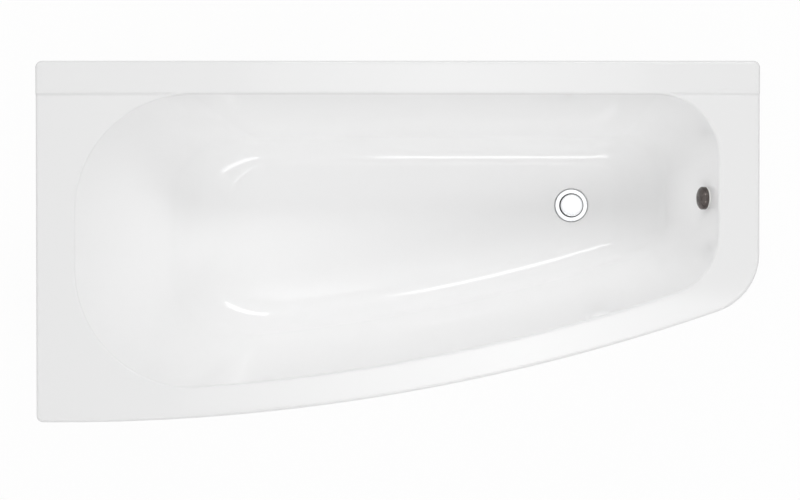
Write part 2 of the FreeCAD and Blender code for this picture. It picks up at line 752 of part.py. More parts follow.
pieces["waste_upper_seal"] = ring(flange_radius - seal_clearance, tail_radius + seal_clearance,
                                  dish_top + slide_clearance, flange_seat - slide_clearance, waste_x, waste_y)
lower_seal_top = dish_top - sheet
collar_top = lower_seal_top - lower_seal_thickness
pieces["waste_lower_seal"] = ring(collar_radius - seal_clearance, tail_radius + seal_clearance,
                                  collar_top, lower_seal_top, waste_x, waste_y)

overflow_axis = overflow_seat - overflow_way * (outer_skin + lower_seal_thickness + collar_thickness
                                                + overflow_chamber_length / 2)
branch_way = Vector(overflow_axis.x - waste_x, overflow_axis.y - waste_y, 0).normalize()
body_bore = tail_radius + thread_clearance
spigot_radius = trap_radius + spigot_wall
branch_start = Vector(waste_x, waste_y, branch_height)
branch_end = branch_start + branch_way * branch_length
body = turned([(0, spigot_bottom), (spigot_radius, spigot_bottom), (spigot_radius, body_bottom),
               (body_radius, body_bottom), (body_radius, collar_top - collar_thickness),
               (collar_radius, collar_top - collar_thickness), (collar_radius, collar_top), (0, collar_top)],
              waste_x, waste_y)
body = body.fuse(Part.makeCylinder(pipe_radius, branch_length, branch_start, branch_way))
branch_bore = Part.makeCylinder(pipe_radius - pipe_wall, branch_length, branch_start, branch_way)
throat = rod(trap_radius - trap_wall, spigot_bottom, collar_top, waste_x, waste_y)
socket = rod(body_bore, tail_end - touch_gap, collar_top, waste_x, waste_y)
pieces["waste_body"] = body.cut([branch_bore, throat, socket])

# Sprung plug: the cartridge fixed in the flange's spokes, and the cap on its stem, which pushes down

seal_edge_radius = plug_radius - plug_seal_thickness
seat_share = (seal_edge_radius - flange_bore_radius) / (plug_seat_radius - flange_bore_radius)
seat_height = flange_rim - plug_seat_depth + seat_share * (plug_seat_depth - bevel)
cap_under = seat_height + plug_seat_clearance + plug_seal_thickness + plug_travel
cartridge_top = flange_seat - plug_seal_thickness
cartridge_bottom = tail_end - 2 * plug_travel
cartridge_floor = cartridge_bottom + 2 * slide_clearance + cartridge_radius / 3
sleeve_bore = stem_radius + slide_clearance
pieces["plug_cartridge"] = turned([
    (0, cartridge_bottom), (cartridge_radius, cartridge_bottom), (cartridge_radius, spoke_top),
    (boss_radius, spoke_top), (boss_radius, spoke_top + cartridge_collar),
    (cartridge_radius, spoke_top + cartridge_collar), (cartridge_radius, cartridge_top),
    (sleeve_bore, cartridge_top), (sleeve_bore, cartridge_floor), (0, cartridge_floor)], waste_x, waste_y)
stem_bottom = cartridge_floor + plug_travel + touch_gap
pieces["plug_stem"] = turned([(0, stem_bottom), (stem_radius, stem_bottom), (stem_radius, cap_under),
                              (0, cap_under)], waste_x, waste_y)
pieces["plug_cap"] = turned([(0, cap_under), (plug_radius - bevel, cap_under),
                             (plug_radius, cap_under + bevel), (plug_radius, cap_under + plug_crown / 2),
                             dome(plug_radius, cap_under + plug_crown / 2, cap_under + plug_crown)],
                            waste_x, waste_y)
pieces["plug_seal"] = turned([(stem_radius + touch_gap, cap_under - plug_seal_thickness),
                              (seal_edge_radius, cap_under - plug_seal_thickness),
                              (plug_radius - bevel, cap_under), (stem_radius + touch_gap, cap_under)],
                             waste_x, waste_y)

# Overflow: the chrome cap on its bezel inside, clamped through the end wall to the elbow outside

bezel_bore = overflow_bore_radius - overflow_bezel_wall
bezel_tube = overflow_bore_radius - thread_clearance
bezel_lip = overflow_bore_radius + overflow_bezel_lip
bezel_reach = outer_skin + lower_seal_thickness + collar_thickness + overflow_chamber_length / 3
bezel = turned([(bezel_bore, -bezel_reach), (bezel_tube, -bezel_reach), (bezel_tube, touch_gap),
                (bezel_lip, touch_gap), (bezel_lip, overflow_bezel_height - bevel),
                (bezel_lip - bevel, overflow_bezel_height), (bezel_bore, overflow_bezel_height)])
hub_radius = overflow_bore_radius / 3
arm_reach = (bezel_bore + bezel_tube) / 2
bezel_arm = box(-arm_reach, arm_reach, -overflow_arm_width / 2, overflow_arm_width / 2, touch_gap,
                overflow_bezel_height)
bezel = bezel.fuse([bezel_arm, rod(hub_radius, touch_gap, overflow_bezel_height)]).removeSplitter()
pieces["overflow_bezel"] = at_overflow(bezel)

cap_seat = overflow_bezel_height
cap_top = cap_seat + overflow_cap_height
cap_edge = cap_top - overflow_cap_height / 2
cap_lip = cap_seat + overflow_cap_wall
cap_hub = hub_radius - bevel
cap = turned([(0, cap_seat), (cap_hub, cap_seat), (cap_hub, cap_top - 2 * overflow_cap_wall),
              (overflow_cap_radius - 2 * overflow_cap_wall, cap_edge),
              (overflow_cap_radius - overflow_cap_wall, cap_lip), (overflow_cap_radius - bevel, cap_lip),
              (overflow_cap_radius, cap_lip + bevel), (overflow_cap_radius, cap_edge),
              dome(overflow_cap_radius, cap_edge, cap_top)])
pieces["overflow_cap"] = at_overflow(cap)

seal_back = -outer_skin - touch_gap
elbow_face = seal_back - lower_seal_thickness
pieces["overflow_seal"] = at_overflow(ring(overflow_flange_radius, overflow_bore_radius + touch_gap,
                                           elbow_face, seal_back))
chamber_front = elbow_face - collar_thickness
chamber_back = chamber_front - overflow_chamber_length
elbow = at_overflow(turned([(0, chamber_back), (overflow_chamber_radius - socket_wall, chamber_back),
                            (overflow_chamber_radius, chamber_back + socket_wall),
                            (overflow_chamber_radius, chamber_front), (overflow_flange_radius, chamber_front),
                            (overflow_flange_radius, elbow_face), (0, elbow_face)]))
stub_bottom = overflow_axis.z - overflow_stub_length
pipe_top = stub_bottom + union_nut_width
drop_at = (overflow_axis.x, overflow_axis.y)
elbow = elbow.fuse(rod(pipe_radius + socket_wall, stub_bottom, overflow_axis.z, *drop_at))
elbow_mouth = at_overflow(rod(overflow_bore_radius, chamber_back + socket_wall, elbow_face))
elbow_drop = rod(pipe_radius - pipe_wall, stub_bottom, overflow_axis.z, *drop_at)
elbow_socket = rod(pipe_radius + slide_clearance, stub_bottom, pipe_top, *drop_at)
pieces["overflow_elbow"] = elbow.cut([elbow_mouth, elbow_drop, elbow_socket])

# Rigid overflow pipe: straight down behind the end wall, round one bend, to the branch of the waste body

down = Vector(0, 0, -1)
pipe_start = Vector(overflow_axis.x, overflow_axis.y, pipe_top)
pipe_drop = pipe_top - branch_height - pipe_bend_radius
foot_span = Vector(overflow_axis.x - branch_end.x, overflow_axis.y - branch_end.y, 0).Length
pipe_moves = [pipe_drop, (branch_way * -1, pipe_bend_radius), foot_span - pipe_bend_radius]
pieces["overflow_pipe"] = bent_tube(pipe_start, down, pipe_moves, pipe_radius, pipe_wall)


def union_nut(centre, way, bore, width):
    """A ribbed union nut round a pipe: a ring with grip ribs, made about +Z and turned to way."""
    outer = bore + union_nut_wall
    nut = ring(outer, bore + slide_clearance, -width / 2, width / 2)
    rib = box(outer - bevel, outer + union_nut_rib, -union_nut_rib, union_nut_rib, -width / 2, width / 2)
    ribs = []
    for step in range(8):
        turned_rib = rib.copy()
        turned_rib.rotate(Vector(0, 0, 0), Vector(0, 0, 1), 45 * step)
        ribs.append(turned_rib)
    nut = nut.fuse(ribs)
    nut.Placement = FreeCAD.Placement(centre, FreeCAD.Rotation(Vector(0, 0, 1), way))
    return nut


pieces["branch_nut"] = union_nut(branch_end, branch_way, pipe_radius, union_nut_width)

# Trap: a U-bend under the waste and an outlet that swivels on it, towards the wall behind

up = Vector(0, 0, 1)
to_head = Vector(-1, 0, 0)
to_wall = Vector(0, 1, 0)
trap_start = Vector(waste_x, waste_y, spigot_bottom)
riser_rise = union_nut_width / 2
bend_moves = [trap_drop, (to_head, trap_bend_radius), (up, trap_bend_radius), riser_rise]
pieces["trap_bend"] = bent_tube(trap_start, down, bend_moves, trap_radius, trap_wall)
riser_top = Vector(waste_x - 2 * trap_bend_radius, waste_y, trap_centre + riser_rise)
outlet_moves = [riser_rise + trap_outlet_straight, (to_wall, trap_outlet_bend_radius), trap_outlet_length]
pieces["trap_outlet"] = bent_tube(riser_top, up, outlet_moves, trap_radius, trap_wall)
pieces["trap_outlet_nut"] = union_nut(riser_top, up, trap_radius, union_nut_width)
inlet_nut = union_nut(trap_start, up, spigot_radius, union_nut_width)
inlet_ring = ring(spigot_radius + bevel, trap_radius + slide_clearance, spigot_bottom - union_nut_width / 2,
                  spigot_bottom, waste_x, waste_y)
pieces["trap_inlet_nut"] = inlet_nut.fuse(inlet_ring).removeSplitter()

os.makedirs("parts", exist_ok=True)
for name, shape in pieces.items():
    shape.exportStep(os.path.join("parts", name + ".step"))
    print(name, shape.ShapeType, len(shape.Solids), "valid" if shape.isValid() else "NOT VALID",
          round(shape.Volume / 1000, 2), "cm3")
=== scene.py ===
import bmesh
import bpy
import numpy as np
from mathutils import Matrix, Vector


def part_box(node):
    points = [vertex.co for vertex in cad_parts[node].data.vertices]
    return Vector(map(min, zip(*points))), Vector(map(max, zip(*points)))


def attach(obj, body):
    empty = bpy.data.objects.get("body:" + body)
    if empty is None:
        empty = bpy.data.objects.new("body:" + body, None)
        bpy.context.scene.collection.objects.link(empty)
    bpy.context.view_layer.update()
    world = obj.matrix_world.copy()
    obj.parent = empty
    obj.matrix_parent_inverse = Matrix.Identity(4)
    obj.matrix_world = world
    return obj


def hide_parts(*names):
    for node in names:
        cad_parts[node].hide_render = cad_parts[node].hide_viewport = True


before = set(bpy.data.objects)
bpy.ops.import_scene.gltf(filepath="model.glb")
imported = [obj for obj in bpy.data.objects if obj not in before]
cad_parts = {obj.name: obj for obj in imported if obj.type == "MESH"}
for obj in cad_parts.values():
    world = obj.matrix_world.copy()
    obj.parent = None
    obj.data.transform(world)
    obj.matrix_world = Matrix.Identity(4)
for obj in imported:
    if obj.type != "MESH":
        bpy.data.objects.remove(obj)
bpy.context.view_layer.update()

# Acrylic shell
# One sheet of white acrylic, vacuum formed into the rim with its skirt, the raised ledge along the wall, the
# basin and the dish for the waste. It is polished and slightly wavy from the mould. Its colour is painted
# lighter in the basin and darker on the deck: painted light and shade that evens the basin with the deck.
bath_length = 1.5
bath_width = 0.75
rim_height = 0.58
bow_radius = 4.15
bow_centre_from_head = 0.05
nose_radius = 0.127
square_corner_radius = 0.014
rim_at_head = 0.08
rim_at_foot = 0.084
rim_at_back = 0.0695
rim_at_front = 0.0645
skirt_depth = 0.04
rim_edge_radius = 0.006
skirt_bevel = 0.0008
ledge_rise = 0.004
ledge_ramp = 0.007
basin_depth = 0.405
lip_radius = 0.0055
head_slope = 28.0
foot_slope = 12.5
back_slope = 12.0
front_slope = 12.7
head_fillet = 0.15
foot_fillet = 0.12
side_fillet = 0.068
head_corner_radius = 0.244
foot_corner_radius = 0.13
floor_head_corner_radius = 0.084
floor_foot_corner_radius = 0.06
sheet = 0.005
waste_from_foot_end = 0.36
waste_hole_radius = 0.026
dish_radius = 0.041
dish_drop = 0.0045
dish_fall = 4
dish_apron = (0.005, 0.001)
dish_margin = 0.012
dish_flat_radius = 0.031
hole_bevel = 0.0005

head_edge = -bath_length / 2
foot_edge = bath_length / 2
back_edge = bath_width / 2
bow_x = head_edge + bow_centre_from_head
bow_y = bow_radius - bath_width / 2
open_head = head_edge + rim_at_head
open_foot = foot_edge - rim_at_foot
open_back = back_edge - rim_at_back
open_bow = bow_radius - rim_at_front
skirt_bottom = rim_height - skirt_depth
floor_top = rim_height - basin_depth


def smooth(share):
    """An S curve from 0 to 1: three squares less two cubes of the share."""
    share = np.clip(share, 0.0, 1.0)
    return share * share * (3 - 2 * share)


def column(values):
    return np.asarray(values, float)[:, None]


def wall_inset(slope, fillet, depth, skin=0.0):
    """How far a basin wall has come in at each depth below the deck.

    From the top: a quarter-round lip, a straight slope, and a fillet onto the floor; skin moves the wall
    outward, square to itself.
    """
    lean = np.radians(slope)
    centre_depth = basin_depth - fillet
    wall_end = centre_depth + (fillet + skin) * np.sin(lean)
    turn = np.arccos(np.clip(1 - depth / lip_radius, -1, 1))
    lip = lip_radius * ((np.sin(lean) - 1) / np.cos(lean) + np.sin(turn))
    straight = depth * np.tan(lean) - skin / np.cos(lean)
    centre_inset = (centre_depth + fillet * np.sin(lean)) * np.tan(lean) + fillet * np.cos(lean)
    rise = np.clip((depth - centre_depth) / (fillet + skin), 0, 1)
    rounded_part = centre_inset - (fillet + skin) * np.sqrt(1 - rise ** 2)
    below_lip = np.where(depth <= wall_end, straight, rounded_part)
    on_lip = (skin == 0) & (depth < lip_radius * (1 - np.sin(lean)))
    return np.where(on_lip, lip, below_lip)


def bow_front(radius, x):
    """Y of the bowed front line of this radius at x: a circle about the bow's centre."""
    return bow_y - np.sqrt(radius ** 2 - (x - bow_x) ** 2)


def plan(head, foot, back, bow, radii, station):
    """Points round the bath's plan: one row for each level, one column for each station.

    Stations 0 to 8 run clockwise: back line, foot-back arc, foot line, nose arc, bowed front, chin arc, head
    line, head-back arc. Each arc is tangent to its neighbours, and the bowed front is a circle.
    """
    head_back, foot_back, foot_front, head_front = radii
    nose_x = foot - foot_front
    nose_y = bow_front(bow - foot_front, nose_x)
    chin_x = head + head_front
    chin_y = bow_front(bow - head_front, chin_x)
    nose_turn = np.arctan2(nose_y - bow_y, nose_x - bow_x)
    chin_turn = np.arctan2(chin_y - bow_y, chin_x - bow_x)
    edge = np.floor(station).astype(int) % 8
    along = station - np.floor(station)
    half = np.pi / 2

    def arc(x, y, radius, first, last):
        turn = first + (last - first) * along
        return x + radius * np.cos(turn), y + radius * np.sin(turn)

    def line(x_first, y_first, x_last, y_last):
        return x_first + (x_last - x_first) * along, y_first + (y_last - y_first) * along

    runs = [
        line(head + head_back, back, foot - foot_back, back),
        arc(foot - foot_back, back - foot_back, foot_back, half, 0.0),
        line(foot, back - foot_back, foot, nose_y),
        arc(nose_x, nose_y, foot_front, 0.0, nose_turn),
        arc(bow_x, bow_y, bow, nose_turn, chin_turn),
        arc(chin_x, chin_y, head_front, chin_turn, -np.pi),
        line(head, chin_y, head, back - head_back),
        arc(head + head_back, back - head_back, head_back, np.pi, half),
    ]
    on_edge = [edge == k for k in range(8)]
    return np.select(on_edge, [run[0] for run in runs]), np.select(on_edge, [run[1] for run in runs])


# Stations of the basin's plan beside those of the rim's plan, so that lines run square across the rim
ledge_front = open_back - ledge_ramp / 2
ledge_back = open_back + ledge_ramp / 2
square_start = back_edge - square_corner_radius
nose_end = bow_front(bow_radius - nose_radius, foot_edge - nose_radius)
chin_end = bow_front(bow_radius - square_corner_radius, head_edge + square_corner_radius)
mouth_chin = bow_front(open_bow - head_corner_radius, open_head + head_corner_radius)
mouth_out = -wall_inset(back_slope, side_fillet, 0.0)
mouth_share = -mouth_out / wall_inset(back_slope, side_fillet, basin_depth)
bow_turns = np.arcsin(np.array([
    (foot_edge - nose_radius - bow_x) / (bow_radius - nose_radius),
    (open_head + head_corner_radius - bow_x) / (open_bow - head_corner_radius),
    (head_edge + square_corner_radius - bow_x) / (bow_radius - square_corner_radius)]))


def rim_back_station(x):
    return (x - head_edge - square_corner_radius) / (bath_length - 2 * square_corner_radius)


def rim_foot_station(y):
    return 2 + (square_start - y) / (square_start - nose_end)


def rim_head_station(y):
    return 6 + (y - chin_end) / (square_start - chin_end)


def mouth_turn(y, radius, floor_radius):
    """Share of a back corner's quarter turn at which the mouth reaches y: the arcsine of its height."""
    mouth_radius = radius + (floor_radius - radius) * mouth_share
    return np.arcsin((y - open_back - mouth_out + mouth_radius) / mouth_radius) * 2 / np.pi


back_first = rim_back_station(open_head + head_corner_radius)
back_last = rim_back_station(open_foot - foot_corner_radius)
bow_last = 4 + (bow_turns[0] - bow_turns[1]) / (bow_turns[0] - bow_turns[2])
foot_up = 2 - mouth_turn(ledge_back, foot_corner_radius, floor_foot_corner_radius)
foot_down = 2 - mouth_turn(ledge_front, foot_corner_radius, floor_foot_corner_radius)
head_up = 7 + mouth_turn(ledge_back, head_corner_radius, floor_head_corner_radius)
head_down = 7 + mouth_turn(ledge_front, head_corner_radius, floor_head_corner_radius)

# Shares of the mouth's back corners, and stations on its chin, that fan out to the rim's square corners
square_first = 0.7
square_last = 0.85
chin_first = 5.45
chin_last = 5.55

# Each row is a basin station, its rim station, and the number of lines from there to the next row
matched = np.array([
    (0.0, back_first, 90),
    (1.0, back_last, 10),
    (1 + square_first * (foot_up - 1), 1.0, 8),
    (1 + square_last * (foot_up - 1), 2.0, 4),
    (foot_up, rim_foot_station(ledge_back), 6),
    (foot_down, rim_foot_station(ledge_front), 34),
    (2.0, rim_foot_station(open_back - foot_corner_radius), 18),
    (3.0, 3.0, 44),
    (4.0, 4.0, 110),
    (5.0, bow_last, 18),
    (chin_first, 5.0, 8),
    (chin_last, 6.0, 18),
    (6.0, rim_head_station(mouth_chin), 16),
    (7.0, rim_head_station(open_back - head_corner_radius), 40),
    (head_down, rim_head_station(ledge_front), 6),
    (head_up, rim_head_station(ledge_back), 4),
    (8 + square_last * (head_up - 8), 7.0, 8),
    (8 + square_first * (head_up - 8), 8.0, 10),
    (8.0, 8 + back_first, 0)])
knots = np.concatenate([[0], np.cumsum(matched[:-1, 2])])
lines_round = int(knots[-1])
count = np.arange(lines_round)
basin_station = np.interp(count, knots, matched[:, 0]) % 8
rim_station = np.interp(count, knots, matched[:, 1]) % 8


def rows(x, y, z):
    return np.stack(np.broadcast_arrays(x, y, z), axis=-1)


def rim_rows(inward, z):
    """Rows of points on the rim's outer plan, moved inward, at the heights z."""
    inward = column(inward)
    square = square_corner_radius - inward
    x, y = plan(head_edge + inward, foot_edge - inward, back_edge - inward, bow_radius - inward,
                (square, square, nose_radius - inward, square), rim_station)
    return rows(x, y, z)


def basin_rows(depth, skin=0.0):
    """Rows of points on the basin's plan at each depth below the deck; corners tighten to the floor."""
    depth = column(depth)
    share = wall_inset(back_slope, side_fillet, np.minimum(depth, basin_depth))
    share = share / wall_inset(back_slope, side_fillet, basin_depth)
    head_round = head_corner_radius + (floor_head_corner_radius - head_corner_radius) * share + skin
    foot_round = foot_corner_radius + (floor_foot_corner_radius - foot_corner_radius) * share + skin
    x, y = plan(open_head + wall_inset(head_slope, head_fillet, depth, skin),
                open_foot - wall_inset(foot_slope, foot_fillet, depth, skin),
                open_back - wall_inset(back_slope, side_fillet, depth, skin),
                open_bow - wall_inset(front_slope, side_fillet, depth, skin),
                (head_round, foot_round, foot_round, head_round), basin_station)
    return rows(x, y, rim_height - depth)


def between(first, last, shares):
    """Rows of points on straight lines from the first row to the last, at these shares of the way."""
    share = np.asarray(shares)[:, None, None]
    return first + (last - first) * share


# The ledge lifts the lines that start behind the basin, and their part of the mouth slides up the back wall
lift = ledge_rise * smooth((rim_rows([rim_edge_radius], rim_height)[0, :, 1] - ledge_front) / ledge_ramp)
rim_top = rim_height + lift
mouth_lift = column(lift) * np.array([0.0, np.tan(np.radians(back_slope)), 1.0])
waste_x = foot_edge - waste_from_foot_end
floor_back = open_back - wall_inset(back_slope, side_fillet, basin_depth)
floor_bow = open_bow - wall_inset(front_slope, side_fillet, basin_depth)
waste_y = (floor_back + bow_front(floor_bow, waste_x)) / 2
waste_at = np.array([waste_x, waste_y])
edge_turn = np.radians(np.linspace(0, 90, 9))
skirt_in = [sheet, skirt_bevel, 0.0, 0.0]
skirt_z = [skirt_bottom, skirt_bottom, skirt_bottom + skirt_bevel, skirt_bottom + skirt_depth / 2]
edge_in = np.concatenate([skirt_in, rim_edge_radius * (1 - np.cos(edge_turn))])
edge_z = np.concatenate([np.repeat(column(skirt_z), lines_round, axis=1),
                         rim_top + rim_edge_radius * (column(np.sin(edge_turn)) - 1)])
skirt_rows = rim_rows(edge_in, edge_z)
lip_rows = basin_rows(lip_radius * (1 - np.cos(np.radians(np.linspace(0, 90, 12))))) + mouth_lift
deck_shares = [0.03, 0.35, 0.7, 0.97]
deck_rows = between(skirt_rows[-1], lip_rows[0], deck_shares)
fillet_start = 0.295
wall_rows = basin_rows(np.linspace(lip_radius, fillet_start, 9)[1:])
fillet_depth = fillet_start + (basin_depth - fillet_start) * np.sin(np.radians(np.linspace(0, 90, 33)[1:]))
fillet_rows = basin_rows(fillet_depth)
floor_outline = fillet_rows[-1]
from_waste = floor_outline[:, :2] - waste_at
from_waste = from_waste / np.linalg.norm(from_waste, axis=1, keepdims=True)


def waste_ring(radius, z):
    """One row on a circle about the waste, where the lines from the floor's outline to the waste cross it."""
    ring = waste_at + from_waste * radius
    return rows(ring[:, 0], ring[:, 1], z)


# Rows close to the floor's edges keep the flat floor from being shaded as part of the roundings beside it
floor_shares = [0.03, 0.12, 0.3, 0.5, 0.7, 0.9, 1.0]
floor_rows = between(floor_outline, waste_ring(dish_radius + dish_margin, floor_top), floor_shares)
apron_rings = [waste_ring(dish_radius + out, floor_top) for out in dish_apron]
dish_rings = [waste_ring(dish_radius - dish_drop * share, floor_top - dish_drop * share ** dish_fall)
              for share in np.linspace(0, 1, 13)[1:]]
dish_rows = np.stack(apron_rings + dish_rings)
dish_top = floor_top - dish_drop
hole_rows = np.stack([waste_ring(dish_flat_radius, dish_top),
                      waste_ring(waste_hole_radius + hole_bevel, dish_top),
                      waste_ring(waste_hole_radius, dish_top - hole_bevel),
                      waste_ring(waste_hole_radius, dish_top - sheet),
                      waste_ring(dish_radius + sheet, dish_top - sheet),
                      waste_ring(dish_radius + sheet, floor_top - sheet)])
under_depth = fillet_start + (basin_depth + sheet - fillet_start) * np.sin(np.radians(np.linspace(90, 0, 19)))
under_wall_depth = [0.2, 0.1, 0.03]
under_basin = basin_rows(np.concatenate([under_depth, under_wall_depth]), sheet)
under_mouth = basin_rows([sheet], sheet) + mouth_lift
under_floor = between(hole_rows[-1], under_basin[0], [0.1, 0.5, 0.9])
under_edge = rim_rows([sheet], rim_top - sheet)
shell_points = np.concatenate([skirt_rows, deck_rows, lip_rows, wall_rows, fillet_rows, floor_rows, dish_rows,
                               hole_rows, under_floor, under_basin, under_mouth, under_edge])


def grid_piece(name, *grids, close_rows=True, close_lines=True):
    """A mesh piece from grids of points: rows along the first axis, lines along the second.

    Each cell is one face, lines that are not closed end in flat faces, meeting points are merged, and the
    faces are turned to point outward.
    """
    merge_distance = 1e-6
    cells = []
    ends = []
    first = 0
    for points in grids:
        index = first + np.arange(points.shape[0] * points.shape[1]).reshape(points.shape[:2])
        first += index.size
        if close_rows:
            index = np.concatenate([index, index[:1]])
        if close_lines:
            index = np.concatenate([index, index[:, :1]], axis=1)
        else:
            ends += [index[::-1, 0].tolist(), index[:, -1].tolist()]
        corners = [index[:-1, :-1], index[1:, :-1], index[1:, 1:], index[:-1, 1:]]
        cells.append(np.stack(corners, axis=-1).reshape(-1, 4))
    mesh = bpy.data.meshes.new(name)
    points = np.concatenate([grid.reshape(-1, 3) for grid in grids])
    mesh.from_pydata(points, [], np.concatenate(cells).tolist() + ends)
    shape = bmesh.new()
    shape.from_mesh(mesh)
    bmesh.ops.remove_doubles(shape, verts=shape.verts, dist=merge_distance)
    if shape.calc_volume(signed=True) < 0:
        bmesh.ops.reverse_faces(shape, faces=shape.faces)
    shape.to_mesh(mesh)
    shape.free()
    corner_count = np.empty(len(mesh.polygons), np.int32)
    mesh.polygons.foreach_get("loop_total", corner_count)
    mesh.polygons.foreach_set("use_smooth", corner_count <= 4)
    piece = bpy.data.objects.new(name, mesh)
    bpy.context.scene.collection.objects.link(piece)
    return piece


def dress(piece, body, material, slot, *nodes):
    """Give a new piece its material and body, and let it stand for its CAD nodes; slot is not used."""
    piece.data.materials.append(material)
    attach(piece, body)
    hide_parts(*nodes)


def new_material(name, colour, roughness, metallic=0.0):
    """A material and its Principled shader, with these values on the shader's own sockets."""
    material = bpy.data.materials.new(name)
    material.use_nodes = True
    shader = material.node_tree.nodes["Principled BSDF"]
    shader.inputs["Base Color"].default_value = (*colour, 1.0)
    shader.inputs["Roughness"].default_value = roughness
    shader.inputs["Metallic"].default_value = metallic
    return material, shader


def new_group(name, inputs, outputs):
    """A shader node group with these named sockets, and what its inside reads from and puts out."""
    group = bpy.data.node_groups.new(name, "ShaderNodeTree")
    for label, kind in inputs.items():
        group.interface.new_socket(label, in_out="INPUT", socket_type="NodeSocket" + kind)
    for label, kind in outputs.items():
        group.interface.new_socket(label, in_out="OUTPUT", socket_type="NodeSocket" + kind)
    return group, group.nodes.new("NodeGroupInput").outputs, group.nodes.new("NodeGroupOutput").inputs


def place_group(material, group, **values):
    """A group placed in a material, with a plain value or another node's output on each of its inputs."""
    placed = material.node_tree.nodes.new("ShaderNodeGroup")
    placed.node_tree = group
    for label, value in values.items():
        if isinstance(value, bpy.types.NodeSocket):
            material.node_tree.links.new(value, placed.inputs[label])
        else:
            placed.inputs[label].default_value = value
    return placed.outputs


def pattern_group(name, kind):
    """A noise or cell texture on Object coordinates, stretched by a Mapping node."""
    inputs = {"scale": "Float", "detail": "Float", "stretch": "Vector"}
    group, given, result = new_group(name, inputs, {"pattern": "Float"})
    place = group.nodes.new("ShaderNodeTexCoord")
    mapping = group.nodes.new("ShaderNodeMapping")
    texture = group.nodes.new(kind)
    group.links.new(place.outputs["Object"], mapping.inputs["Vector"])
    group.links.new(given["stretch"], mapping.inputs["Scale"])
    group.links.new(mapping.outputs["Vector"], texture.inputs["Vector"])
    group.links.new(given["scale"], texture.inputs["Scale"])
    group.links.new(given["detail"], texture.inputs["Detail"])
    group.links.new(texture.outputs[0], result["pattern"])
    return group


def relief_group():
    """Fine relief: a bump from a height value, with its distance in metres."""
    inputs = {"height": "Float", "strength": "Float", "distance": "Float"}
    group, given, result = new_group("fine_relief", inputs, {"normal": "Vector"})
    bump = group.nodes.new("ShaderNodeBump")
    group.links.new(given["height"], bump.inputs["Height"])
    group.links.new(given["strength"], bump.inputs["Strength"])
    group.links.new(given["distance"], bump.inputs["Distance"])
    group.links.new(bump.outputs["Normal"], result["normal"])
    return group


noise_pattern = pattern_group("noise_pattern", "ShaderNodeTexNoise")
fine_relief = relief_group()


def add_pattern(material, scale, detail=3.0, stretch=(1.0, 1.0, 1.0), group=noise_pattern):
    """A pattern group placed in a material."""
    return place_group(material, group, scale=scale, detail=detail, stretch=stretch)["pattern"]


def add_range(owner, value, low, high):
    """Spread a 0 to 1 value between low and high, in a material's or a world's nodes."""
    spread = owner.node_tree.nodes.new("ShaderNodeMapRange")
    spread.inputs["To Min"].default_value = low
    spread.inputs["To Max"].default_value = high
    owner.node_tree.links.new(value, spread.inputs["Value"])
    return spread.outputs["Result"]


def add_mix(material, share, first, last):
    """A colour between first and last."""
    mix = material.node_tree.nodes.new("ShaderNodeMix")
    mix.data_type = "RGBA"
    mix.inputs["A"].default_value = (*first, 1.0)
    mix.inputs["B"].default_value = (*last, 1.0)
    material.node_tree.links.new(share, mix.inputs["Factor"])
    return mix.outputs["Result"]


def add_bump(material, shader, height, strength, distance):
    """The fine relief placed in a material and led to its shader."""
    relief = place_group(material, fine_relief, height=height, strength=strength, distance=distance)
    material.node_tree.links.new(relief["normal"], shader.inputs["Normal"])


# Painted light and shade: the basin's colour is painted lighter and the deck's darker than the sheet's one
# colour
basin_painted_light = (0.95, 0.95, 0.95)
deck_painted_shade = (0.82, 0.82, 0.82)
painted_light_below_rim = 0.005
painted_shade_below_rim = 0.0005


def add_height(material, low, high):
    """A 0 to 1 value that rises with the Object coordinate Z, from low to high."""
    tree = material.node_tree
    place = tree.nodes.new("ShaderNodeTexCoord")
    split = tree.nodes.new("ShaderNodeSeparateXYZ")
    ramp = tree.nodes.new("ShaderNodeMapRange")
    ramp.interpolation_type = "SMOOTHSTEP"
    ramp.inputs["From Min"].default_value = low
    ramp.inputs["From Max"].default_value = high
    tree.links.new(place.outputs["Object"], split.inputs["Vector"])
    tree.links.new(split.outputs["Z"], ramp.inputs["Value"])
    return ramp.outputs["Result"]


# Painted light and shade: the colour turns from the basin's painted light to the deck's painted shade just
# under the rim
acrylic, acrylic_shader = new_material("white_acrylic", basin_painted_light, roughness=0.07)
painted_shade_share = add_height(acrylic, rim_height - painted_light_below_rim, rim_height - painted_shade_below_rim)
painted_tone = add_mix(acrylic, painted_shade_share, basin_painted_light, deck_painted_shade)
acrylic.node_tree.links.new(painted_tone, acrylic_shader.inputs["Base Color"])
polish = add_range(acrylic, add_pattern(acrylic, scale=5.0), 0.05, 0.09)
acrylic.node_tree.links.new(polish, acrylic_shader.inputs["Roughness"])
add_bump(acrylic, acrylic_shader, add_pattern(acrylic, scale=9.0, detail=1.0), strength=0.12, distance=0.001)

dress(grid_piece("tub_shell", shell_points), "tub", acrylic, "acrylic_white", "acrylic_shell")

# Glass-fibre backing
# Chopped glass strands in polyester resin, sprayed over the basin's hidden face. The CAD node's shape stays,
# and the material shows the strands, the resin's lumps and its yellowish cast.


def coat_nodes(material, *names):
    """Give CAD nodes this material in place of the plain one that they came with."""
    for name in names:
        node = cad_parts[name]
        if not node.material_slots:
            node.data.materials.append(material)
        for slot in node.material_slots:
            slot.material = material


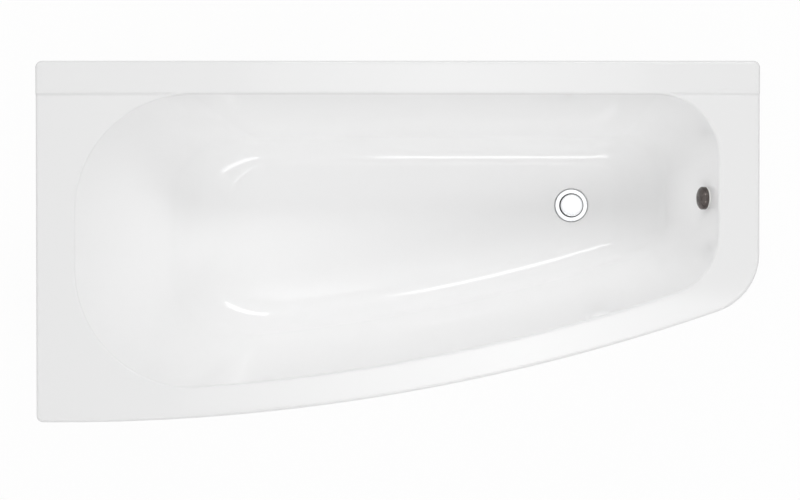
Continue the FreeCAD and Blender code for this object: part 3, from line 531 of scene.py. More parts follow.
def finish_group():
    """Uneven finish: one pattern leads the colour from first to last, and the roughness from low to high."""
    inputs = {"pattern": "Float", "first": "Color", "last": "Color", "low": "Float", "high": "Float"}
    group, given, result = new_group("uneven_finish", inputs, {"colour": "Color", "roughness": "Float"})
    mix = group.nodes.new("ShaderNodeMix")
    mix.data_type = "RGBA"
    spread = group.nodes.new("ShaderNodeMapRange")
    group.links.new(given["pattern"], mix.inputs["Factor"])
    group.links.new(given["first"], mix.inputs["A"])
    group.links.new(given["last"], mix.inputs["B"])
    group.links.new(given["pattern"], spread.inputs["Value"])
    group.links.new(given["low"], spread.inputs["To Min"])
    group.links.new(given["high"], spread.inputs["To Max"])
    group.links.new(mix.outputs["Result"], result["colour"])
    group.links.new(spread.outputs["Result"], result["roughness"])
    return group


uneven_finish = finish_group()


def vary(material, shader, pattern, first, last, roughness):
    """The uneven finish placed in a material and led to its shader; roughness is a pair, low and high."""
    low, high = roughness
    finish = place_group(material, uneven_finish, pattern=pattern, first=(*first, 1.0), last=(*last, 1.0),
                         low=low, high=high)
    material.node_tree.links.new(finish["colour"], shader.inputs["Base Color"])
    material.node_tree.links.new(finish["roughness"], shader.inputs["Roughness"])


laminate, laminate_shader = new_material("glass_fibre_laminate", (0.7, 0.68, 0.55), roughness=0.5)
strands = add_pattern(laminate, scale=90.0, detail=5.0, stretch=(1.0, 4.0, 0.6))
vary(laminate, laminate_shader, strands, (0.58, 0.56, 0.43), (0.83, 0.81, 0.7), roughness=(0.38, 0.7))
add_bump(laminate, laminate_shader, strands, strength=0.8, distance=0.0015)
coat_nodes(laminate, "glass_fibre_backing")

# Base board and rim battens
# A chipboard panel bonded under the floor carries the legs, and planed pine battens stiffen the rim. All are
# plain sawn boards, so the CAD nodes stay, with flakes on the board and grain along each batten.
cell_pattern = pattern_group("cell_pattern", "ShaderNodeTexVoronoi")
chipboard, chipboard_shader = new_material("chipboard", (0.6, 0.44, 0.27), roughness=0.75)
flakes = add_pattern(chipboard, scale=210.0, detail=2.0, stretch=(1.0, 1.6, 1.0), group=cell_pattern)
vary(chipboard, chipboard_shader, flakes, (0.68, 0.52, 0.33), (0.4, 0.26, 0.14), roughness=(0.65, 0.9))
add_bump(chipboard, chipboard_shader, flakes, strength=0.4, distance=0.0006)
coat_nodes(chipboard, "base_board")


def pine(name, stretch):
    """Planed pine: a noise drawn out along the board, which darkens the late wood and lifts the grain."""
    material, shader = new_material(name, (0.72, 0.53, 0.31), roughness=0.6)
    grain = add_pattern(material, scale=16.0, detail=6.0, stretch=stretch)
    vary(material, shader, grain, (0.82, 0.65, 0.42), (0.5, 0.31, 0.15), roughness=(0.5, 0.75))
    add_bump(material, shader, grain, strength=0.35, distance=0.0005)
    return material


coat_nodes(pine("pine_lengthwise", (0.25, 9.0, 9.0)), "rim_batten_back", "rim_batten_front")
coat_nodes(pine("pine_crosswise", (9.0, 0.25, 9.0)), "rim_batten_head", "rim_batten_foot")

# Wall brackets and their screws
# Joggled strips of galvanised steel from the battens to the wall: the CAD nodes, with a spangled zinc finish.
# The pan-head screws are new, with a crowned head, a cross recess and a coarse thread into the timber.
batten_from_skirt = 0.007
batten_out = sheet + batten_from_skirt
side_batten_gap = 0.015
batten_width = 0.04
batten_height = 0.02
strip_thickness = 0.003
bracket_width = 0.06
bracket_hole_pitch = 0.036
bracket_screw_share = 0.6
screw_radius = 0.0022
screw_head_radius = 0.0046
screw_head_height = 0.0026
screw_grip = 0.013
screw_pitch = 0.0014
recess_depth = 0.0015
recess_half_width = 0.0005
recess_edge = 1.4 * recess_half_width
recess_slope = 0.6 * recess_half_width
recess_reach = 0.0021
recess_end = 0.3 * recess_reach
crown_fall = 0.45
thread_share = 0.16
tip_share = 0.15
round_lines = 48

zinc, zinc_shader = new_material("galvanised_steel", (0.55, 0.56, 0.58), roughness=0.38, metallic=1.0)
spangle = add_pattern(zinc, scale=130.0, detail=2.0, group=cell_pattern)
vary(zinc, zinc_shader, spangle, (0.6, 0.61, 0.63), (0.44, 0.45, 0.48), roughness=(0.26, 0.5))
add_bump(zinc, zinc_shader, add_pattern(zinc, scale=700.0), strength=0.15, distance=0.0002)


def screw_grids(spots, grip, way):
    """Pan-head screws at the spots where their heads seat, with the shank along way (1 up, -1 down).

    The crown falls as the fourth power of the radius, the recess is a cross pressed into it, and the thread
    is a wave that climbs one pitch a turn.
    """
    turn = np.linspace(0, 2 * np.pi, round_lines, endpoint=False)
    crown_share = np.array([0, 0.07, 0.13, 0.2, 0.28, 0.36, 0.44, 0.5, 0.62, 0.8, 0.93, 1.0])
    crown_r = screw_head_radius * crown_share
    x = column(crown_r) * np.cos(turn)
    y = column(crown_r) * np.sin(turn)
    narrow = np.minimum(np.abs(x), np.abs(y))
    reach = np.maximum(np.abs(x), np.abs(y))
    pressed = smooth((recess_edge - narrow) / recess_slope) * smooth((recess_reach - reach) / recess_end)
    crown = screw_head_height * (1 - crown_fall * column(crown_share) ** 4) - recess_depth * pressed
    shank_z = np.linspace(0, grip, int(grip / screw_pitch) * 6)
    phase = column(shank_z) / screw_pitch - turn / (2 * np.pi)
    tip = smooth((grip - column(shank_z)) / (2 * screw_radius))
    thread = 1 - thread_share + thread_share * np.cos(2 * np.pi * phase)
    shank_r = screw_radius * thread * (tip_share + (1 - tip_share) * tip)
    middle = np.zeros((1, round_lines))
    radius = np.concatenate([np.broadcast_to(column(crown_r), crown.shape), middle + screw_head_radius,
                             shank_r, middle])
    height = np.concatenate([-crown, middle, np.broadcast_to(column(shank_z), shank_r.shape), middle + grip])
    one = np.stack([radius * np.cos(turn), radius * np.sin(turn), way * height], axis=-1)
    return [one + np.asarray(spot) for spot in spots]


def dress_screws(name, node, spots, grip, way=1):
    """One galvanised piece with a screw at each spot, to stand for a CAD node."""
    screws = grid_piece(name, *screw_grids(spots, grip, way), close_rows=False)
    dress(screws, "tub", zinc, "zinc_steel", node)


bracket_screw_out = batten_out + batten_width * bracket_screw_share
side_batten_back = back_edge - batten_out - batten_width - side_batten_gap
bracket_places = (open_head + head_corner_radius, open_foot - foot_corner_radius - bracket_width)
head_bracket_y = (side_batten_back - bath_width / 2) / 2
bracket_steps = (-bracket_hole_pitch / 2, bracket_hole_pitch / 2)
back_seat = rim_height + ledge_rise - sheet - batten_height - strip_thickness
head_seat = rim_height - sheet - batten_height - strip_thickness
bracket_spots = [(place + step, back_edge - bracket_screw_out, back_seat)
                 for place in bracket_places for step in bracket_steps]
bracket_spots += [(head_edge + bracket_screw_out, head_bracket_y + step, head_seat) for step in bracket_steps]
coat_nodes(zinc, "wall_bracket_back_head", "wall_bracket_back_foot", "wall_bracket_head")
dress_screws("bracket_pan_screws", "bracket_screws", bracket_spots, screw_grip)

# Leg set
# Two galvanised channel bars under the base board, screwed to it. Each stands on two zinc-plated studs with a
# rolled thread, a spanner hexagon, a weld nut and a lock nut, in black moulded pads.
board_margin = 0.014
bond_gap = 0.0005
laminate_thickness = 0.003
board_thickness = 0.015
board_bottom = floor_top - sheet - bond_gap - laminate_thickness - board_thickness
bar_width = 0.04
bar_wall = 0.002
head_bar_from_floor_end = 0.085
head_bar_x = open_head + wall_inset(head_slope, head_fillet, basin_depth) + head_bar_from_floor_end
foot_bar_from_waste = 0.16
foot_bar_x = waste_x - foot_bar_from_waste
bar_screw_shares = (0.12, 0.38, 0.62, 0.88)
foot_from_edge = 0.092
stud_radius = 0.006
stud_pitch = 0.00175
stud_bottom = 0.008
stud_above_board = 0.028
stud_top = board_bottom + stud_above_board
thread_depth = 0.00095
thread_sharpness = 0.9
thread_run_out = 0.0015
stud_end_cut = 0.0012
hex_steps = np.array([0, 0.0003, 0.0006, 0.0009, 0.0014])
nut_bevel = 0.0008
stud_hex_flats = 0.017
stud_hex_height = 0.008
nut_flats = 0.019
nut_height = 0.01
lock_nut_height = 0.007
stud_hole_radius = 0.0063
pad_radius = 0.028
pad_height = 0.024
touch_gap = 0.0003

web_under = board_bottom - bar_wall
bar_spots = []
feet = {}
for end, bar_x in (("head", head_bar_x), ("foot", foot_bar_x)):
    board_front = bow_front(floor_bow - board_margin, bar_x)
    board_depth = floor_back - board_margin - board_front
    bar_spots += [(bar_x, board_front + share * board_depth, web_under) for share in bar_screw_shares]
    feet["back_" + end] = (bar_x, back_edge - foot_from_edge, 0.0)
    feet["front_" + end] = (bar_x, bow_front(bow_radius, bar_x) + foot_from_edge, 0.0)

coat_nodes(zinc, "cross_bar_head", "cross_bar_foot")
dress_screws("bar_pan_screws", "bar_screws", bar_spots, screw_grip)

hex_turn = np.linspace(0, 2 * np.pi, round_lines, endpoint=False)


def hex_radius(flats, from_end):
    """Radius of a hexagon at each turn, with its corners cut to a cone towards the end faces."""
    sixth = np.pi / 3
    straight = flats / 2 / np.cos(hex_turn % sixth - sixth / 2)
    return np.minimum(straight, flats / 2 + np.sqrt(3) * column(from_end))


def ring_points(radius, z):
    """Points round the Z axis from rows of radii and heights."""
    radius, z = np.broadcast_arrays(radius, z)
    return np.stack([radius * np.cos(hex_turn), radius * np.sin(hex_turn), z], axis=-1)


def nut_grid(flats, bore, bottom, top):
    """A hexagon nut: its bore, bevelled at both mouths, and its flats with cone-cut corners."""
    from_end = np.concatenate([hex_steps, hex_steps[::-1]])
    z = np.concatenate([bottom + hex_steps, top - hex_steps[::-1]])
    bore_r = np.array([bore + nut_bevel, bore, bore, bore + nut_bevel])
    bore_z = np.array([top, top - nut_bevel, bottom + nut_bevel, bottom])
    return np.concatenate([ring_points(hex_radius(flats, from_end), column(z)),
                           ring_points(np.repeat(column(bore_r), round_lines, axis=1), column(bore_z))])


for kind, top, height in (("weld", web_under, nut_height), ("lock", web_under - nut_height, lock_nut_height)):
    nut_points = nut_grid(nut_flats, stud_hole_radius, top - height, top)
    nuts = grid_piece("hex_" + kind + "_nuts", *[nut_points + np.array(spot) for spot in feet.values()])
    dress(nuts, "tub", zinc, "zinc_steel", "foot_" + kind + "_nuts")


def stud_grid():
    """A threaded stud: a wave that climbs one pitch a turn, with a cone-cut hexagon above the pad."""
    hex_low = pad_height + touch_gap
    hex_high = hex_low + stud_hex_height

    def thread(low, high):
        z = column(np.linspace(low, high, int((high - low) / stud_pitch * 7)))
        phase = z / stud_pitch - hex_turn / (2 * np.pi)
        depth = thread_depth * smooth(0.5 + thread_sharpness * np.cos(2 * np.pi * phase))
        end = smooth((stud_top - z) / thread_run_out) * smooth((z - stud_bottom) / thread_run_out)
        return ring_points(stud_radius - depth - stud_end_cut * (1 - end), z)

    from_end = np.concatenate([hex_steps, hex_steps[::-1]])
    hex_z = np.concatenate([hex_low + hex_steps, hex_high - hex_steps[::-1]])
    hexagon = ring_points(hex_radius(stud_hex_flats, from_end), column(hex_z))
    middle = np.zeros((1, round_lines))
    return np.concatenate([ring_points(middle, stud_bottom), thread(stud_bottom, hex_low), hexagon,
                           thread(hex_high, stud_top), ring_points(middle, stud_top)])


def rounded(points, steps=7):
    """A closed profile from (across, up, rounding) corners.

    Each corner becomes a circular arc tangent to both sides, as a rational quadratic curve whose middle
    weight is the sine of half the corner's angle. A point just past each end of the arc keeps the side beside
    it flat, so a corner has two points more than steps.
    """
    past_share = 0.25
    corners = np.asarray(points, float)
    here = corners[:, :2]
    before = np.roll(here, 1, axis=0) - here
    after = np.roll(here, -1, axis=0) - here
    before = before / np.linalg.norm(before, axis=1, keepdims=True)
    after = after / np.linalg.norm(after, axis=1, keepdims=True)
    half = np.arccos(np.clip((before * after).sum(axis=1), -1, 1)) / 2
    reach = (corners[:, 2] / np.tan(half))[:, None]
    share = np.linspace(0, 1, steps)[None, :, None]
    weight = np.sin(half)[:, None, None]
    first = (here + before * reach)[:, None]
    last = (here + after * reach)[:, None]
    top = first * (1 - share) ** 2 + 2 * share * (1 - share) * weight * here[:, None] + last * share ** 2
    arc = top / ((1 - share) ** 2 + 2 * share * (1 - share) * weight + share ** 2)
    past_first = first + before[:, None] * past_share * reach[:, None]
    past_last = last + after[:, None] * past_share * reach[:, None]
    return np.concatenate([past_first, arc, past_last], axis=1).reshape(-1, 2)


def turned_grid(profile, lines=72):
    """A profile of (radius, height) points turned about the Z axis."""
    turn = np.linspace(0, 2 * np.pi, lines, endpoint=False)
    return np.stack([column(profile[:, 0]) * np.cos(turn), column(profile[:, 0]) * np.sin(turn),
                     np.repeat(column(profile[:, 1]), lines, axis=1)], axis=-1)


pad_black, pad_shader = new_material("pad_black", (0.02, 0.02, 0.021), roughness=0.55)
pad_grain = add_pattern(pad_black, scale=900.0)
vary(pad_black, pad_shader, pad_grain, (0.016, 0.016, 0.017), (0.035, 0.035, 0.036), roughness=(0.45, 0.65))
add_bump(pad_black, pad_shader, pad_grain, strength=0.3, distance=0.0002)

pad_neck = pad_radius / 2
socket_clearance = 0.00005
pad_socket = stud_radius + socket_clearance
pad_profile = rounded([(0.0, 0.0, 0.0), (pad_radius, 0.0, 0.0015), (pad_radius, pad_height / 4, 0.002),
                       (pad_neck, pad_height / 2, 0.003), (pad_neck, pad_height, 0.0012),
                       (pad_socket, pad_height, 0.0005), (pad_socket, stud_bottom, 0.0004),
                       (0.0, stud_bottom, 0.0)])
stud_points = stud_grid()
pad_points = turned_grid(pad_profile)
for name, spot in feet.items():
    dress(grid_piece("stud_" + name, stud_points + np.array(spot), close_rows=False), "foot_" + name, zinc,
          "zinc_steel", "foot_stud_" + name)
    dress(grid_piece("pad_" + name, pad_points + np.array(spot)), "foot_" + name, pad_black, "pad_black",
          "foot_pad_" + name)

# Waste
# A chromed brass flange in the dish, clamped through the shell to a white polypropylene body with two rubber
# seals. The flange is turned, with an eased rim, a plug seat and four spokes that hold the plug's cartridge.
flange_radius = 0.036
flange_height = 0.0045
flange_edge_radius = 0.0008
flange_bore_radius = 0.021
plug_seat_radius = 0.0272
plug_seat_depth = 0.0037
tail_radius = 0.0238
tail_length = 0.034
boss_radius = 0.009
spoke_height = 0.005
spoke_width = 0.004
spoke_bite = 0.001
seal_thickness = 0.002
fine_lines = 96
cartridge_radius = 0.00605
flange_seat = dish_top + seal_thickness
flange_rim = flange_seat + flange_height
tail_end = flange_seat - tail_length
spoke_top = tail_end + spoke_height
flange_profile = rounded([
    (flange_bore_radius, tail_end, 0.0005), (tail_radius, tail_end, 0.0005),
    (tail_radius, flange_seat, 0.0006), (flange_radius, flange_seat, 0.0006),
    (flange_radius, flange_rim, flange_edge_radius), (plug_seat_radius, flange_rim, 0.0006),
    (flange_bore_radius, flange_rim - plug_seat_depth, 0.0015)])
boss_profile = rounded([(cartridge_radius, tail_end, 0.0004), (boss_radius, tail_end, 0.0008),
                        (boss_radius, spoke_top, 0.0008), (cartridge_radius, spoke_top, 0.0004)])
spoke_section = rounded([(-spoke_width / 2, tail_end, 0.0008), (spoke_width / 2, tail_end, 0.0008),
                         (spoke_width / 2, spoke_top, 0.0008), (-spoke_width / 2, spoke_top, 0.0008)])
spoke_ends = np.array([boss_radius, boss_radius, tail_radius, tail_radius]) - spoke_bite
spoke_fill = column([0.0, 1.0, 1.0, 0.0])
spoke_middle = (tail_end + spoke_top) / 2
spoke_points = np.stack(np.broadcast_arrays(
    column(spoke_ends), spoke_section[:, 0] * spoke_fill,
    spoke_middle + (spoke_section[:, 1] - spoke_middle) * spoke_fill), axis=-1)


def about_z(points, turn):
    """Points turned about the Z axis by an angle, with its cosine and sine."""
    return np.stack([points[..., 0] * np.cos(turn) - points[..., 1] * np.sin(turn),
                     points[..., 0] * np.sin(turn) + points[..., 1] * np.cos(turn), points[..., 2]], axis=-1)


chrome, chrome_shader = new_material("polished_chrome", (0.8, 0.81, 0.82), roughness=0.06, metallic=1.0)
chrome_wear = add_pattern(chrome, scale=60.0)
vary(chrome, chrome_shader, chrome_wear, (0.82, 0.83, 0.84), (0.74, 0.75, 0.77), roughness=(0.03, 0.1))
add_bump(chrome, chrome_shader, add_pattern(chrome, scale=1500.0, detail=1.0), strength=0.05, distance=0.0001)

waste_shift = np.array([waste_x, waste_y, 0.0])
flange_grids = [turned_grid(flange_profile, fine_lines), turned_grid(boss_profile, round_lines)]
flange_grids += [about_z(spoke_points, step * np.pi / 2) for step in range(4)]
flange_piece = grid_piece("chromed_waste_flange", *[grid + waste_shift for grid in flange_grids])
dress(flange_piece, "tub", chrome, "chrome", "waste_flange")

rubber, rubber_shader = new_material("black_rubber", (0.02, 0.02, 0.02), roughness=0.7)
rubber_bloom = add_pattern(rubber, scale=240.0)
vary(rubber, rubber_shader, rubber_bloom, (0.014, 0.014, 0.014), (0.05, 0.05, 0.052), roughness=(0.6, 0.85))
add_bump(rubber, rubber_shader, rubber_bloom, strength=0.3, distance=0.0002)
coat_nodes(rubber, "waste_upper_seal", "waste_lower_seal")

moulding, moulding_shader = new_material("white_polypropylene", (0.82, 0.82, 0.8), roughness=0.38)
flow_marks = add_pattern(moulding, scale=24.0, detail=4.0, stretch=(1.0, 1.0, 3.0))
vary(moulding, moulding_shader, flow_marks, (0.8, 0.8, 0.775), (0.86, 0.86, 0.84), roughness=(0.3, 0.46))
add_bump(moulding, moulding_shader, add_pattern(moulding, scale=500.0), strength=0.12, distance=0.0002)
coat_nodes(moulding, "waste_body")

# Sprung plug
# A nearly flat chrome cap on a brass stem, with a rubber seal under it, which stands up when it is open. The
# stem slides in a white cartridge that sits in the flange's spokes.
plug_radius = 0.025
plug_crown = 0.00005
plug_edge_radius = 0.0021
plug_under_radius = 0.0009
plug_edge_steps = 15
plug_low, plug_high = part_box("plug_cap")
crown_edge = plug_radius - plug_edge_radius
crown_share = np.linspace(0.96, 0.0, 13)
crown_profile = np.stack([crown_edge * crown_share, plug_high.z - plug_crown * crown_share ** 2], axis=-1)
edge_profile = rounded([(0.0, plug_low.z, 0.0), (plug_radius, plug_low.z, plug_under_radius),
                        (plug_radius, plug_high.z - plug_crown, plug_edge_radius),
                        (0.0, plug_high.z - plug_crown, 0.0)], plug_edge_steps)
edge_profile = edge_profile[:3 * (plug_edge_steps + 2)]
plug_points = turned_grid(np.concatenate([edge_profile, crown_profile]), fine_lines) + waste_shift
dress(grid_piece("chromed_plug_cap", plug_points), "plug", chrome, "chrome", "plug_cap")
coat_nodes(rubber, "plug_seal")
coat_nodes(moulding, "plug_cartridge")
brass, brass_shader = new_material("brass_rod", (0.7, 0.5, 0.22), roughness=0.3, metallic=1.0)
drawing_lines = add_pattern(brass, scale=120.0, detail=4.0, stretch=(1.0, 1.0, 0.1))
vary(brass, brass_shader, drawing_lines, (0.75, 0.56, 0.27), (0.56, 0.39, 0.16), roughness=(0.2, 0.4))
coat_nodes(brass, "plug_stem")

# Overflow
# A domed chrome cap whose colour is painted dark, a painted reflection of dark surroundings. It is pressed on
# the hub of a white bezel inside the end wall; water runs in behind its edge. Outside, a rubber seal and a
# white elbow are drawn up to the wall.
overflow_cap_radius = 0.024
overflow_cap_height = 0.018
overflow_cap_wall = 0.0016
cap_crown_wall = 0.001
dome_across = 0.8
dome_up = 1.2
overflow_drop = 0.07
overflow_from_back = 0.284
bezel_height = 0.003
cap_top = bezel_height + overflow_cap_height
cap_edge = cap_top - overflow_cap_height / 2
cap_lip = bezel_height + overflow_cap_wall
lean = np.radians(foot_slope)
overflow_seat = np.array([open_foot - overflow_drop * np.tan(lean), back_edge - overflow_from_back,
                          rim_height - overflow_drop])
overflow_way = np.array([-np.cos(lean), 0.0, np.sin(lean)])


def at_overflow(points):
    """Points made about +Z from the wall's inner face, turned onto the leaning end wall."""
    across = np.array([np.sin(lean), 0.0, np.cos(lean)])
    sideways = np.array([0.0, 1.0, 0.0])
    return (overflow_seat + points[..., :1] * across + points[..., 1:2] * sideways
            + points[..., 2:] * overflow_way)


dome_turn = np.radians(np.linspace(0, 90, 25))
dome_profile = np.stack([overflow_cap_radius * np.cos(dome_turn) ** dome_across,
                         cap_edge + (cap_top - cap_edge) * np.sin(dome_turn) ** dome_up], axis=-1)
wall_in = overflow_cap_radius - overflow_cap_wall
ceiling = cap_edge - cap_crown_wall
cap_steps = 7
skirt_profile = rounded([(0.0, ceiling, 0.0), (wall_in, ceiling, 0.003), (wall_in, cap_lip, 0.0006),
                         (overflow_cap_radius, cap_lip, 0.0006), (overflow_cap_radius, cap_edge, 0.0),
                         (0.0, cap_edge, 0.0)], cap_steps)
skirt_profile = skirt_profile[:4 * (cap_steps + 2)]
cap_points = at_overflow(turned_grid(np.concatenate([skirt_profile, dome_profile]), fine_lines))
# Painted reflection: the chrome cap's colour is painted dark, standing for the dark surroundings that it
# mirrors
painted_dark_chrome, painted_dark_chrome_shader = new_material("chrome_painted_dark", (0.12, 0.105, 0.1), roughness=0.1, metallic=1.0)
dark_paint_wear = add_pattern(painted_dark_chrome, scale=60.0)
vary(painted_dark_chrome, painted_dark_chrome_shader, dark_paint_wear, (0.13, 0.114, 0.108), (0.09, 0.078, 0.074), roughness=(0.06, 0.14))
add_bump(painted_dark_chrome, painted_dark_chrome_shader, add_pattern(painted_dark_chrome, scale=1500.0, detail=1.0), strength=0.05, distance=0.0001)
dress(grid_piece("plated_overflow_cap", cap_points), "tub", painted_dark_chrome, "chrome", "overflow_cap")
coat_nodes(moulding, "overflow_bezel", "overflow_elbow")
coat_nodes(rubber, "overflow_seal")

# Overflow pipe and trap
# White polypropylene pipes: the overflow drops behind the end wall to a branch on the waste body, and a
# U-bend with a swivel outlet turns to the wall. Ribbed union nuts, kept from the CAD, hold them.
pipe_radius = 0.016
pipe_wall = 0.002
pipe_bend_radius = 0.055
branch_length = 0.062
union_nut_width = 0.018
trap_radius = 0.02
trap_wall = 0.002
trap_bend_radius = 0.038
trap_outlet_bend_radius = 0.03
trap_outlet_straight = 0.003
trap_outlet_length = 0.15


def pipe_grid(start, way, moves, radius, wall, side):
    """A pipe along straight runs, given as lengths, and quarter bends, given as (new direction, bend radius).

    The path stays in one plane, whose normal is side; rings of points stand square to it, the outer skin from
    start to end and the inner skin back again.
    """
    here = np.array(start, float)
    heading = np.array(way, float)
    places = []
    headings = []
    for move in moves:
        if isinstance(move, tuple):
            turn_to, bend_radius = np.array(move[0], float), move[1]
            turn = column(np.radians(np.linspace(0, 90, 19)))
            places.append(here + bend_radius * (heading * np.sin(turn) + turn_to * (1 - np.cos(turn))))
            headings.append(heading * np.cos(turn) + turn_to * np.sin(turn))
            heading = turn_to
        else:
            places.append(here + heading * column([0.0, move]))
            headings.append(np.repeat(heading[None], 2, axis=0))
        here = places[-1][-1]
    places = np.concatenate(places)[:, None]
    headings = np.concatenate(headings)
    across = np.cross(headings, side)[:, None]
    turn = np.linspace(0, 2 * np.pi, round_lines, endpoint=False)[None, :, None]
    spread = across * np.cos(turn) + np.array(side) * np.sin(turn)
    return np.concatenate([places + radius * spread, (places + (radius - wall) * spread)[::-1]])


pipe_low, pipe_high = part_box("overflow_pipe")
branch_height = pipe_low.z + pipe_radius
axis_x = pipe_high.x - pipe_radius
axis_y = overflow_seat[1]
to_overflow = np.array([axis_x - waste_x, axis_y - waste_y, 0.0])
span = np.linalg.norm(to_overflow)
to_overflow = to_overflow / span
pipe_side = np.cross(to_overflow, (0.0, 0.0, 1.0))
pipe_moves = [pipe_high.z - branch_height - pipe_bend_radius, (-to_overflow, pipe_bend_radius),
              span - branch_length - pipe_bend_radius]
pipe_points = pipe_grid((axis_x, axis_y, pipe_high.z), (0, 0, -1), pipe_moves, pipe_radius, pipe_wall,
                        pipe_side)
dress(grid_piece("overflow_down_pipe", pipe_points), "tub", moulding, "pipe_white", "overflow_pipe")

trap_low, trap_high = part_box("trap_bend")
trap_centre = trap_low.z + trap_radius + trap_bend_radius
riser_rise = union_nut_width / 2
bend_moves = [trap_high.z - trap_centre, ((-1, 0, 0), trap_bend_radius), ((0, 0, 1), trap_bend_radius),
              riser_rise]
bend_points = pipe_grid((waste_x, waste_y, trap_high.z), (0, 0, -1), bend_moves, trap_radius, trap_wall,
                        (0, 1, 0))
dress(grid_piece("trap_u_bend", bend_points), "tub", moulding, "pipe_white", "trap_bend")
riser = (waste_x - 2 * trap_bend_radius, waste_y, trap_centre + riser_rise)
outlet_moves = [riser_rise + trap_outlet_straight, ((0, 1, 0), trap_outlet_bend_radius), trap_outlet_length]
outlet_points = pipe_grid(riser, (0, 0, 1), outlet_moves, trap_radius, trap_wall, (1, 0, 0))
dress(grid_piece("trap_swivel_outlet", outlet_points), "tub", moulding, "pipe_white", "trap_outlet")
coat_nodes(moulding, "branch_nut", "trap_outlet_nut", "trap_inlet_nut")

# Front panel
# A formed sheet of the same white acrylic behind the skirt, bowed like the rim and round the nose. It leans
# in to a toe space and ends in a turned-in flange. Steel clips and strips, kept from the CAD, hold it.
panel_thickness = 0.004
panel_gap = 0.0005
panel_top_gap = 0.007
panel_outer = sheet + panel_gap
panel_top = rim_height - sheet - panel_top_gap
panel_bottom = 0.015
panel_taper = 0.025
panel_flange = 0.026
panel_past_nose = 0.03
panel_head_end = head_edge + square_corner_radius + panel_gap
foot_in = panel_outer + panel_taper
panel_profile = rounded([
    (panel_outer, panel_top, 0.0008), (foot_in, panel_bottom, 0.004),
    (foot_in + panel_flange, panel_bottom, 0.0008),
    (foot_in + panel_flange, panel_bottom + panel_thickness, 0.0008),
    (foot_in + panel_thickness, panel_bottom + panel_thickness, 0.002),
    (panel_outer + panel_thickness, panel_top, 0.0008)])


def panel_grid(inward, z):
    """The panel's profile carried along the foot end, round the nose and along the bowed front."""
    inward = column(inward)
    nose = nose_radius - inward
    bow = bow_radius - inward
    nose_x = foot_edge - nose_radius
    nose_y = bow_front(bow_radius - nose_radius, nose_x)
    nose_turn = np.arctan2(nose_y - bow_y, nose_x - bow_x)
    end_turn = -np.arccos((panel_head_end - bow_x) / bow)
    side_y = nose_y + panel_past_nose * np.linspace(1, 0, 6)[:-1]
    turn = nose_turn * np.linspace(0, 1, 40)[:-1]
    bow_turn = nose_turn + (end_turn - nose_turn) * np.linspace(0, 1, 120)
    x = np.concatenate([np.repeat(foot_edge - inward, len(side_y), axis=1), nose_x + nose * np.cos(turn),
                        bow_x + bow * np.cos(bow_turn)], axis=1)
    y = np.concatenate([np.repeat(side_y[None], len(inward), axis=0), nose_y + nose * np.sin(turn),
                        bow_y + bow * np.sin(bow_turn)], axis=1)
    return rows(x, y, column(z))


panel_points = panel_grid(panel_profile[:, 0], panel_profile[:, 1])
dress(grid_piece("bowed_front_panel", panel_points, close_lines=False), "tub", acrylic, "acrylic_white",
      "front_panel")

front_batten_width = 0.024
clip_thickness = 0.002
clip_count = 4
clip_from_nose = 0.06
flange_clearance = 0.001
hold_radius = bow_radius - sheet - batten_from_skirt - panel_thickness - front_batten_width
clip_ends = (open_head, foot_edge - nose_radius - clip_from_nose)
clip_share = (np.arange(clip_count) + 0.5) / clip_count
clip_x = clip_ends[0] + clip_share * (clip_ends[1] - clip_ends[0])
clip_way = np.stack([clip_x - bow_x, bow_front(bow_radius, clip_x) - bow_y], axis=-1) / bow_radius
clip_seat = rim_height - sheet - batten_height - clip_thickness
clip_plan = np.array([bow_x, bow_y]) + hold_radius * clip_way
clip_spots = np.concatenate([clip_plan, np.full((clip_count, 1), clip_seat)], axis=1)
dress_screws("clip_pan_screws", "clip_screws", clip_spots, screw_grip)
panel_seat = panel_bottom + panel_thickness + clip_thickness
panel_spots = []
for bar_x in (head_bar_x, foot_bar_x):
    flange_out = bow_front(bow_radius - foot_in - panel_thickness - flange_clearance, bar_x + bar_width / 2)
    flange_in = bow_front(bow_radius - foot_in - panel_flange, bar_x)
    panel_spots.append((bar_x, (flange_out + flange_in) / 2, panel_seat))
dress_screws("panel_pan_screws", "panel_screws", panel_spots, panel_thickness + clip_thickness, -1)
coat_nodes(zinc, "panel_clips", "panel_strips")

# Studio
# A pale floor under a white surround, with the camera above as in the photo. Two long soft boxes draw the
# streaks along the basin, three small ones show in the rim, the ledge and the plug, and four wide ones wash
# the whole bath with light.
camera_x = 0.0048
camera_y = 0.0658
camera_above_rim = 4.70
focal_pixels = 2269.0
image_width = 800.0
tilt = 1.0056
camera = bpy.data.cameras.new("camera")
camera.sensor_width = 36.0
camera.sensor_fit = "HORIZONTAL"
camera.lens = focal_pixels / image_width * camera.sensor_width
camera_object = bpy.data.objects.new("camera", camera)
camera_object.location = (camera_x, camera_y, rim_height + camera_above_rim)
camera_object.rotation_euler = (np.radians(-tilt), 0.0, 0.0)
bpy.context.scene.collection.objects.link(camera_object)
bpy.context.scene.camera = camera_object

floor_size = 60.0
floor_colour = (0.97, 0.97, 0.97)
floor_glow = 0.94
daylight = 0.46


def seen_share(tree):
    """1 for what the camera sees, straight or by way of a glossy or clear surface, and 0 for other light."""
    path = tree.nodes.new("ShaderNodeLightPath")
    share = path.outputs["Is Camera Ray"]
    for kind in ("Is Glossy Ray", "Is Transmission Ray"):
        either = tree.nodes.new("ShaderNodeMath")
        either.operation = "MAXIMUM"
        tree.links.new(share, either.inputs[0])
        tree.links.new(path.outputs[kind], either.inputs[1])
        share = either.outputs["Value"]
    return share


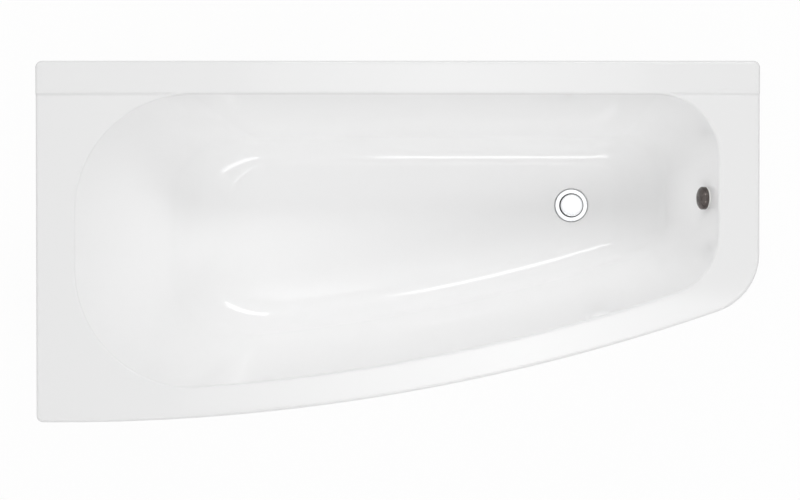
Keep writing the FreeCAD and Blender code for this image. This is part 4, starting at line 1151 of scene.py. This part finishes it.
half_floor = floor_size / 2
floor_mesh = bpy.data.meshes.new("floor")
floor_corners = [(-half_floor, -half_floor, 0), (half_floor, -half_floor, 0), (half_floor, half_floor, 0),
                 (-half_floor, half_floor, 0)]
floor_mesh.from_pydata(floor_corners, [], [(0, 1, 2, 3)])
floor_paint, floor_shader = new_material("floor_paint", floor_colour, roughness=0.9)
floor_tree = floor_paint.node_tree
glow = floor_tree.nodes.new("ShaderNodeEmission")
floor_mix = floor_tree.nodes.new("ShaderNodeMixShader")
floor_tree.links.new(add_range(floor_paint, seen_share(floor_tree), 0.0, floor_glow), floor_mix.inputs["Fac"])
floor_tree.links.new(floor_shader.outputs["BSDF"], floor_mix.inputs[1])
floor_tree.links.new(glow.outputs["Emission"], floor_mix.inputs[2])
floor_tree.links.new(floor_mix.outputs["Shader"], floor_tree.nodes["Material Output"].inputs["Surface"])
floor = bpy.data.objects.new("floor", floor_mesh)
floor_mesh.materials.append(floor_paint)
bpy.context.scene.collection.objects.link(floor)

world = bpy.data.worlds.new("studio")
world.use_nodes = True
bpy.context.scene.world = world
surround = world.node_tree.nodes["Background"]
surround.inputs["Color"].default_value = (1.0, 1.0, 1.0, 1.0)
surround_strength = add_range(world, seen_share(world.node_tree), daylight, 1.0)
world.node_tree.links.new(surround_strength, surround.inputs["Strength"])


def soft_box(name, place, target, width, height, watts, mirrored=True, spread=180.0, shape="RECTANGLE"):
    """A lamp that faces its target, with its width along X; one not mirrored stays out of reflections.

    Spread is the angle in degrees that its light opens to, and it fades from the middle to the edge of that.
    """
    lamp = bpy.data.lights.new(name, "AREA")
    lamp.shape = shape
    lamp.size = width
    lamp.size_y = height
    lamp.spread = np.radians(spread)
    lamp.energy = watts
    lamp_object = bpy.data.objects.new(name, lamp)
    lamp_object.location = place
    behind = (Vector(place) - Vector(target)).normalized()
    upward = behind.cross((1.0, 0.0, 0.0)).normalized()
    lamp_object.rotation_euler = Matrix((upward.cross(behind), upward, behind)).transposed().to_euler()
    lamp_object.visible_camera = False
    lamp_object.visible_glossy = mirrored
    bpy.context.scene.collection.objects.link(lamp_object)


# Each lamp: where it stands, the point that it faces, its width and height, and its watts
soft_box("front_strip", (1.1, -2.1, 3.6), (1.1, 0.0, 0.4), 2.4, 0.7, 22)
soft_box("back_strip", (0.8, 2.5, 3.6), (0.8, 0.0, 0.4), 2.6, 0.8, 31)
soft_box("rim_box", (0.423, -0.444, 3.9), (0.25, -0.233, 0.58), 2.4, 0.42, 0.11, spread=19.3)
soft_box("ledge_box", (0.176, 0.542, 3.9), (0.105, 0.345, 0.58), 1.4, 0.3, 0.01, spread=14.0)
soft_box("waste_box", (0.724, 0.111, 4.6), (0.724, 0.111, 0.4), 0.2, 0.2, 0.05, shape="DISK")
soft_box("top_wash", (-0.9, 0.0, 4.6), (-0.9, 0.0, 0.4), 1.6, 2.4, 11, False)
soft_box("front_wash", (-0.5, -2.6, 3.4), (-0.1, 0.0, 0.4), 2.8, 1.2, 20, False)
soft_box("back_wash", (-0.5, 2.6, 3.4), (-0.1, 0.0, 0.4), 2.8, 1.2, 25, False)
soft_box("head_wash", (-2.6, 0.0, 3.4), (0.2, 0.0, 0.4), 1.6, 2.4, 4, False)

bpy.context.scene.view_settings.view_transform = "Standard"
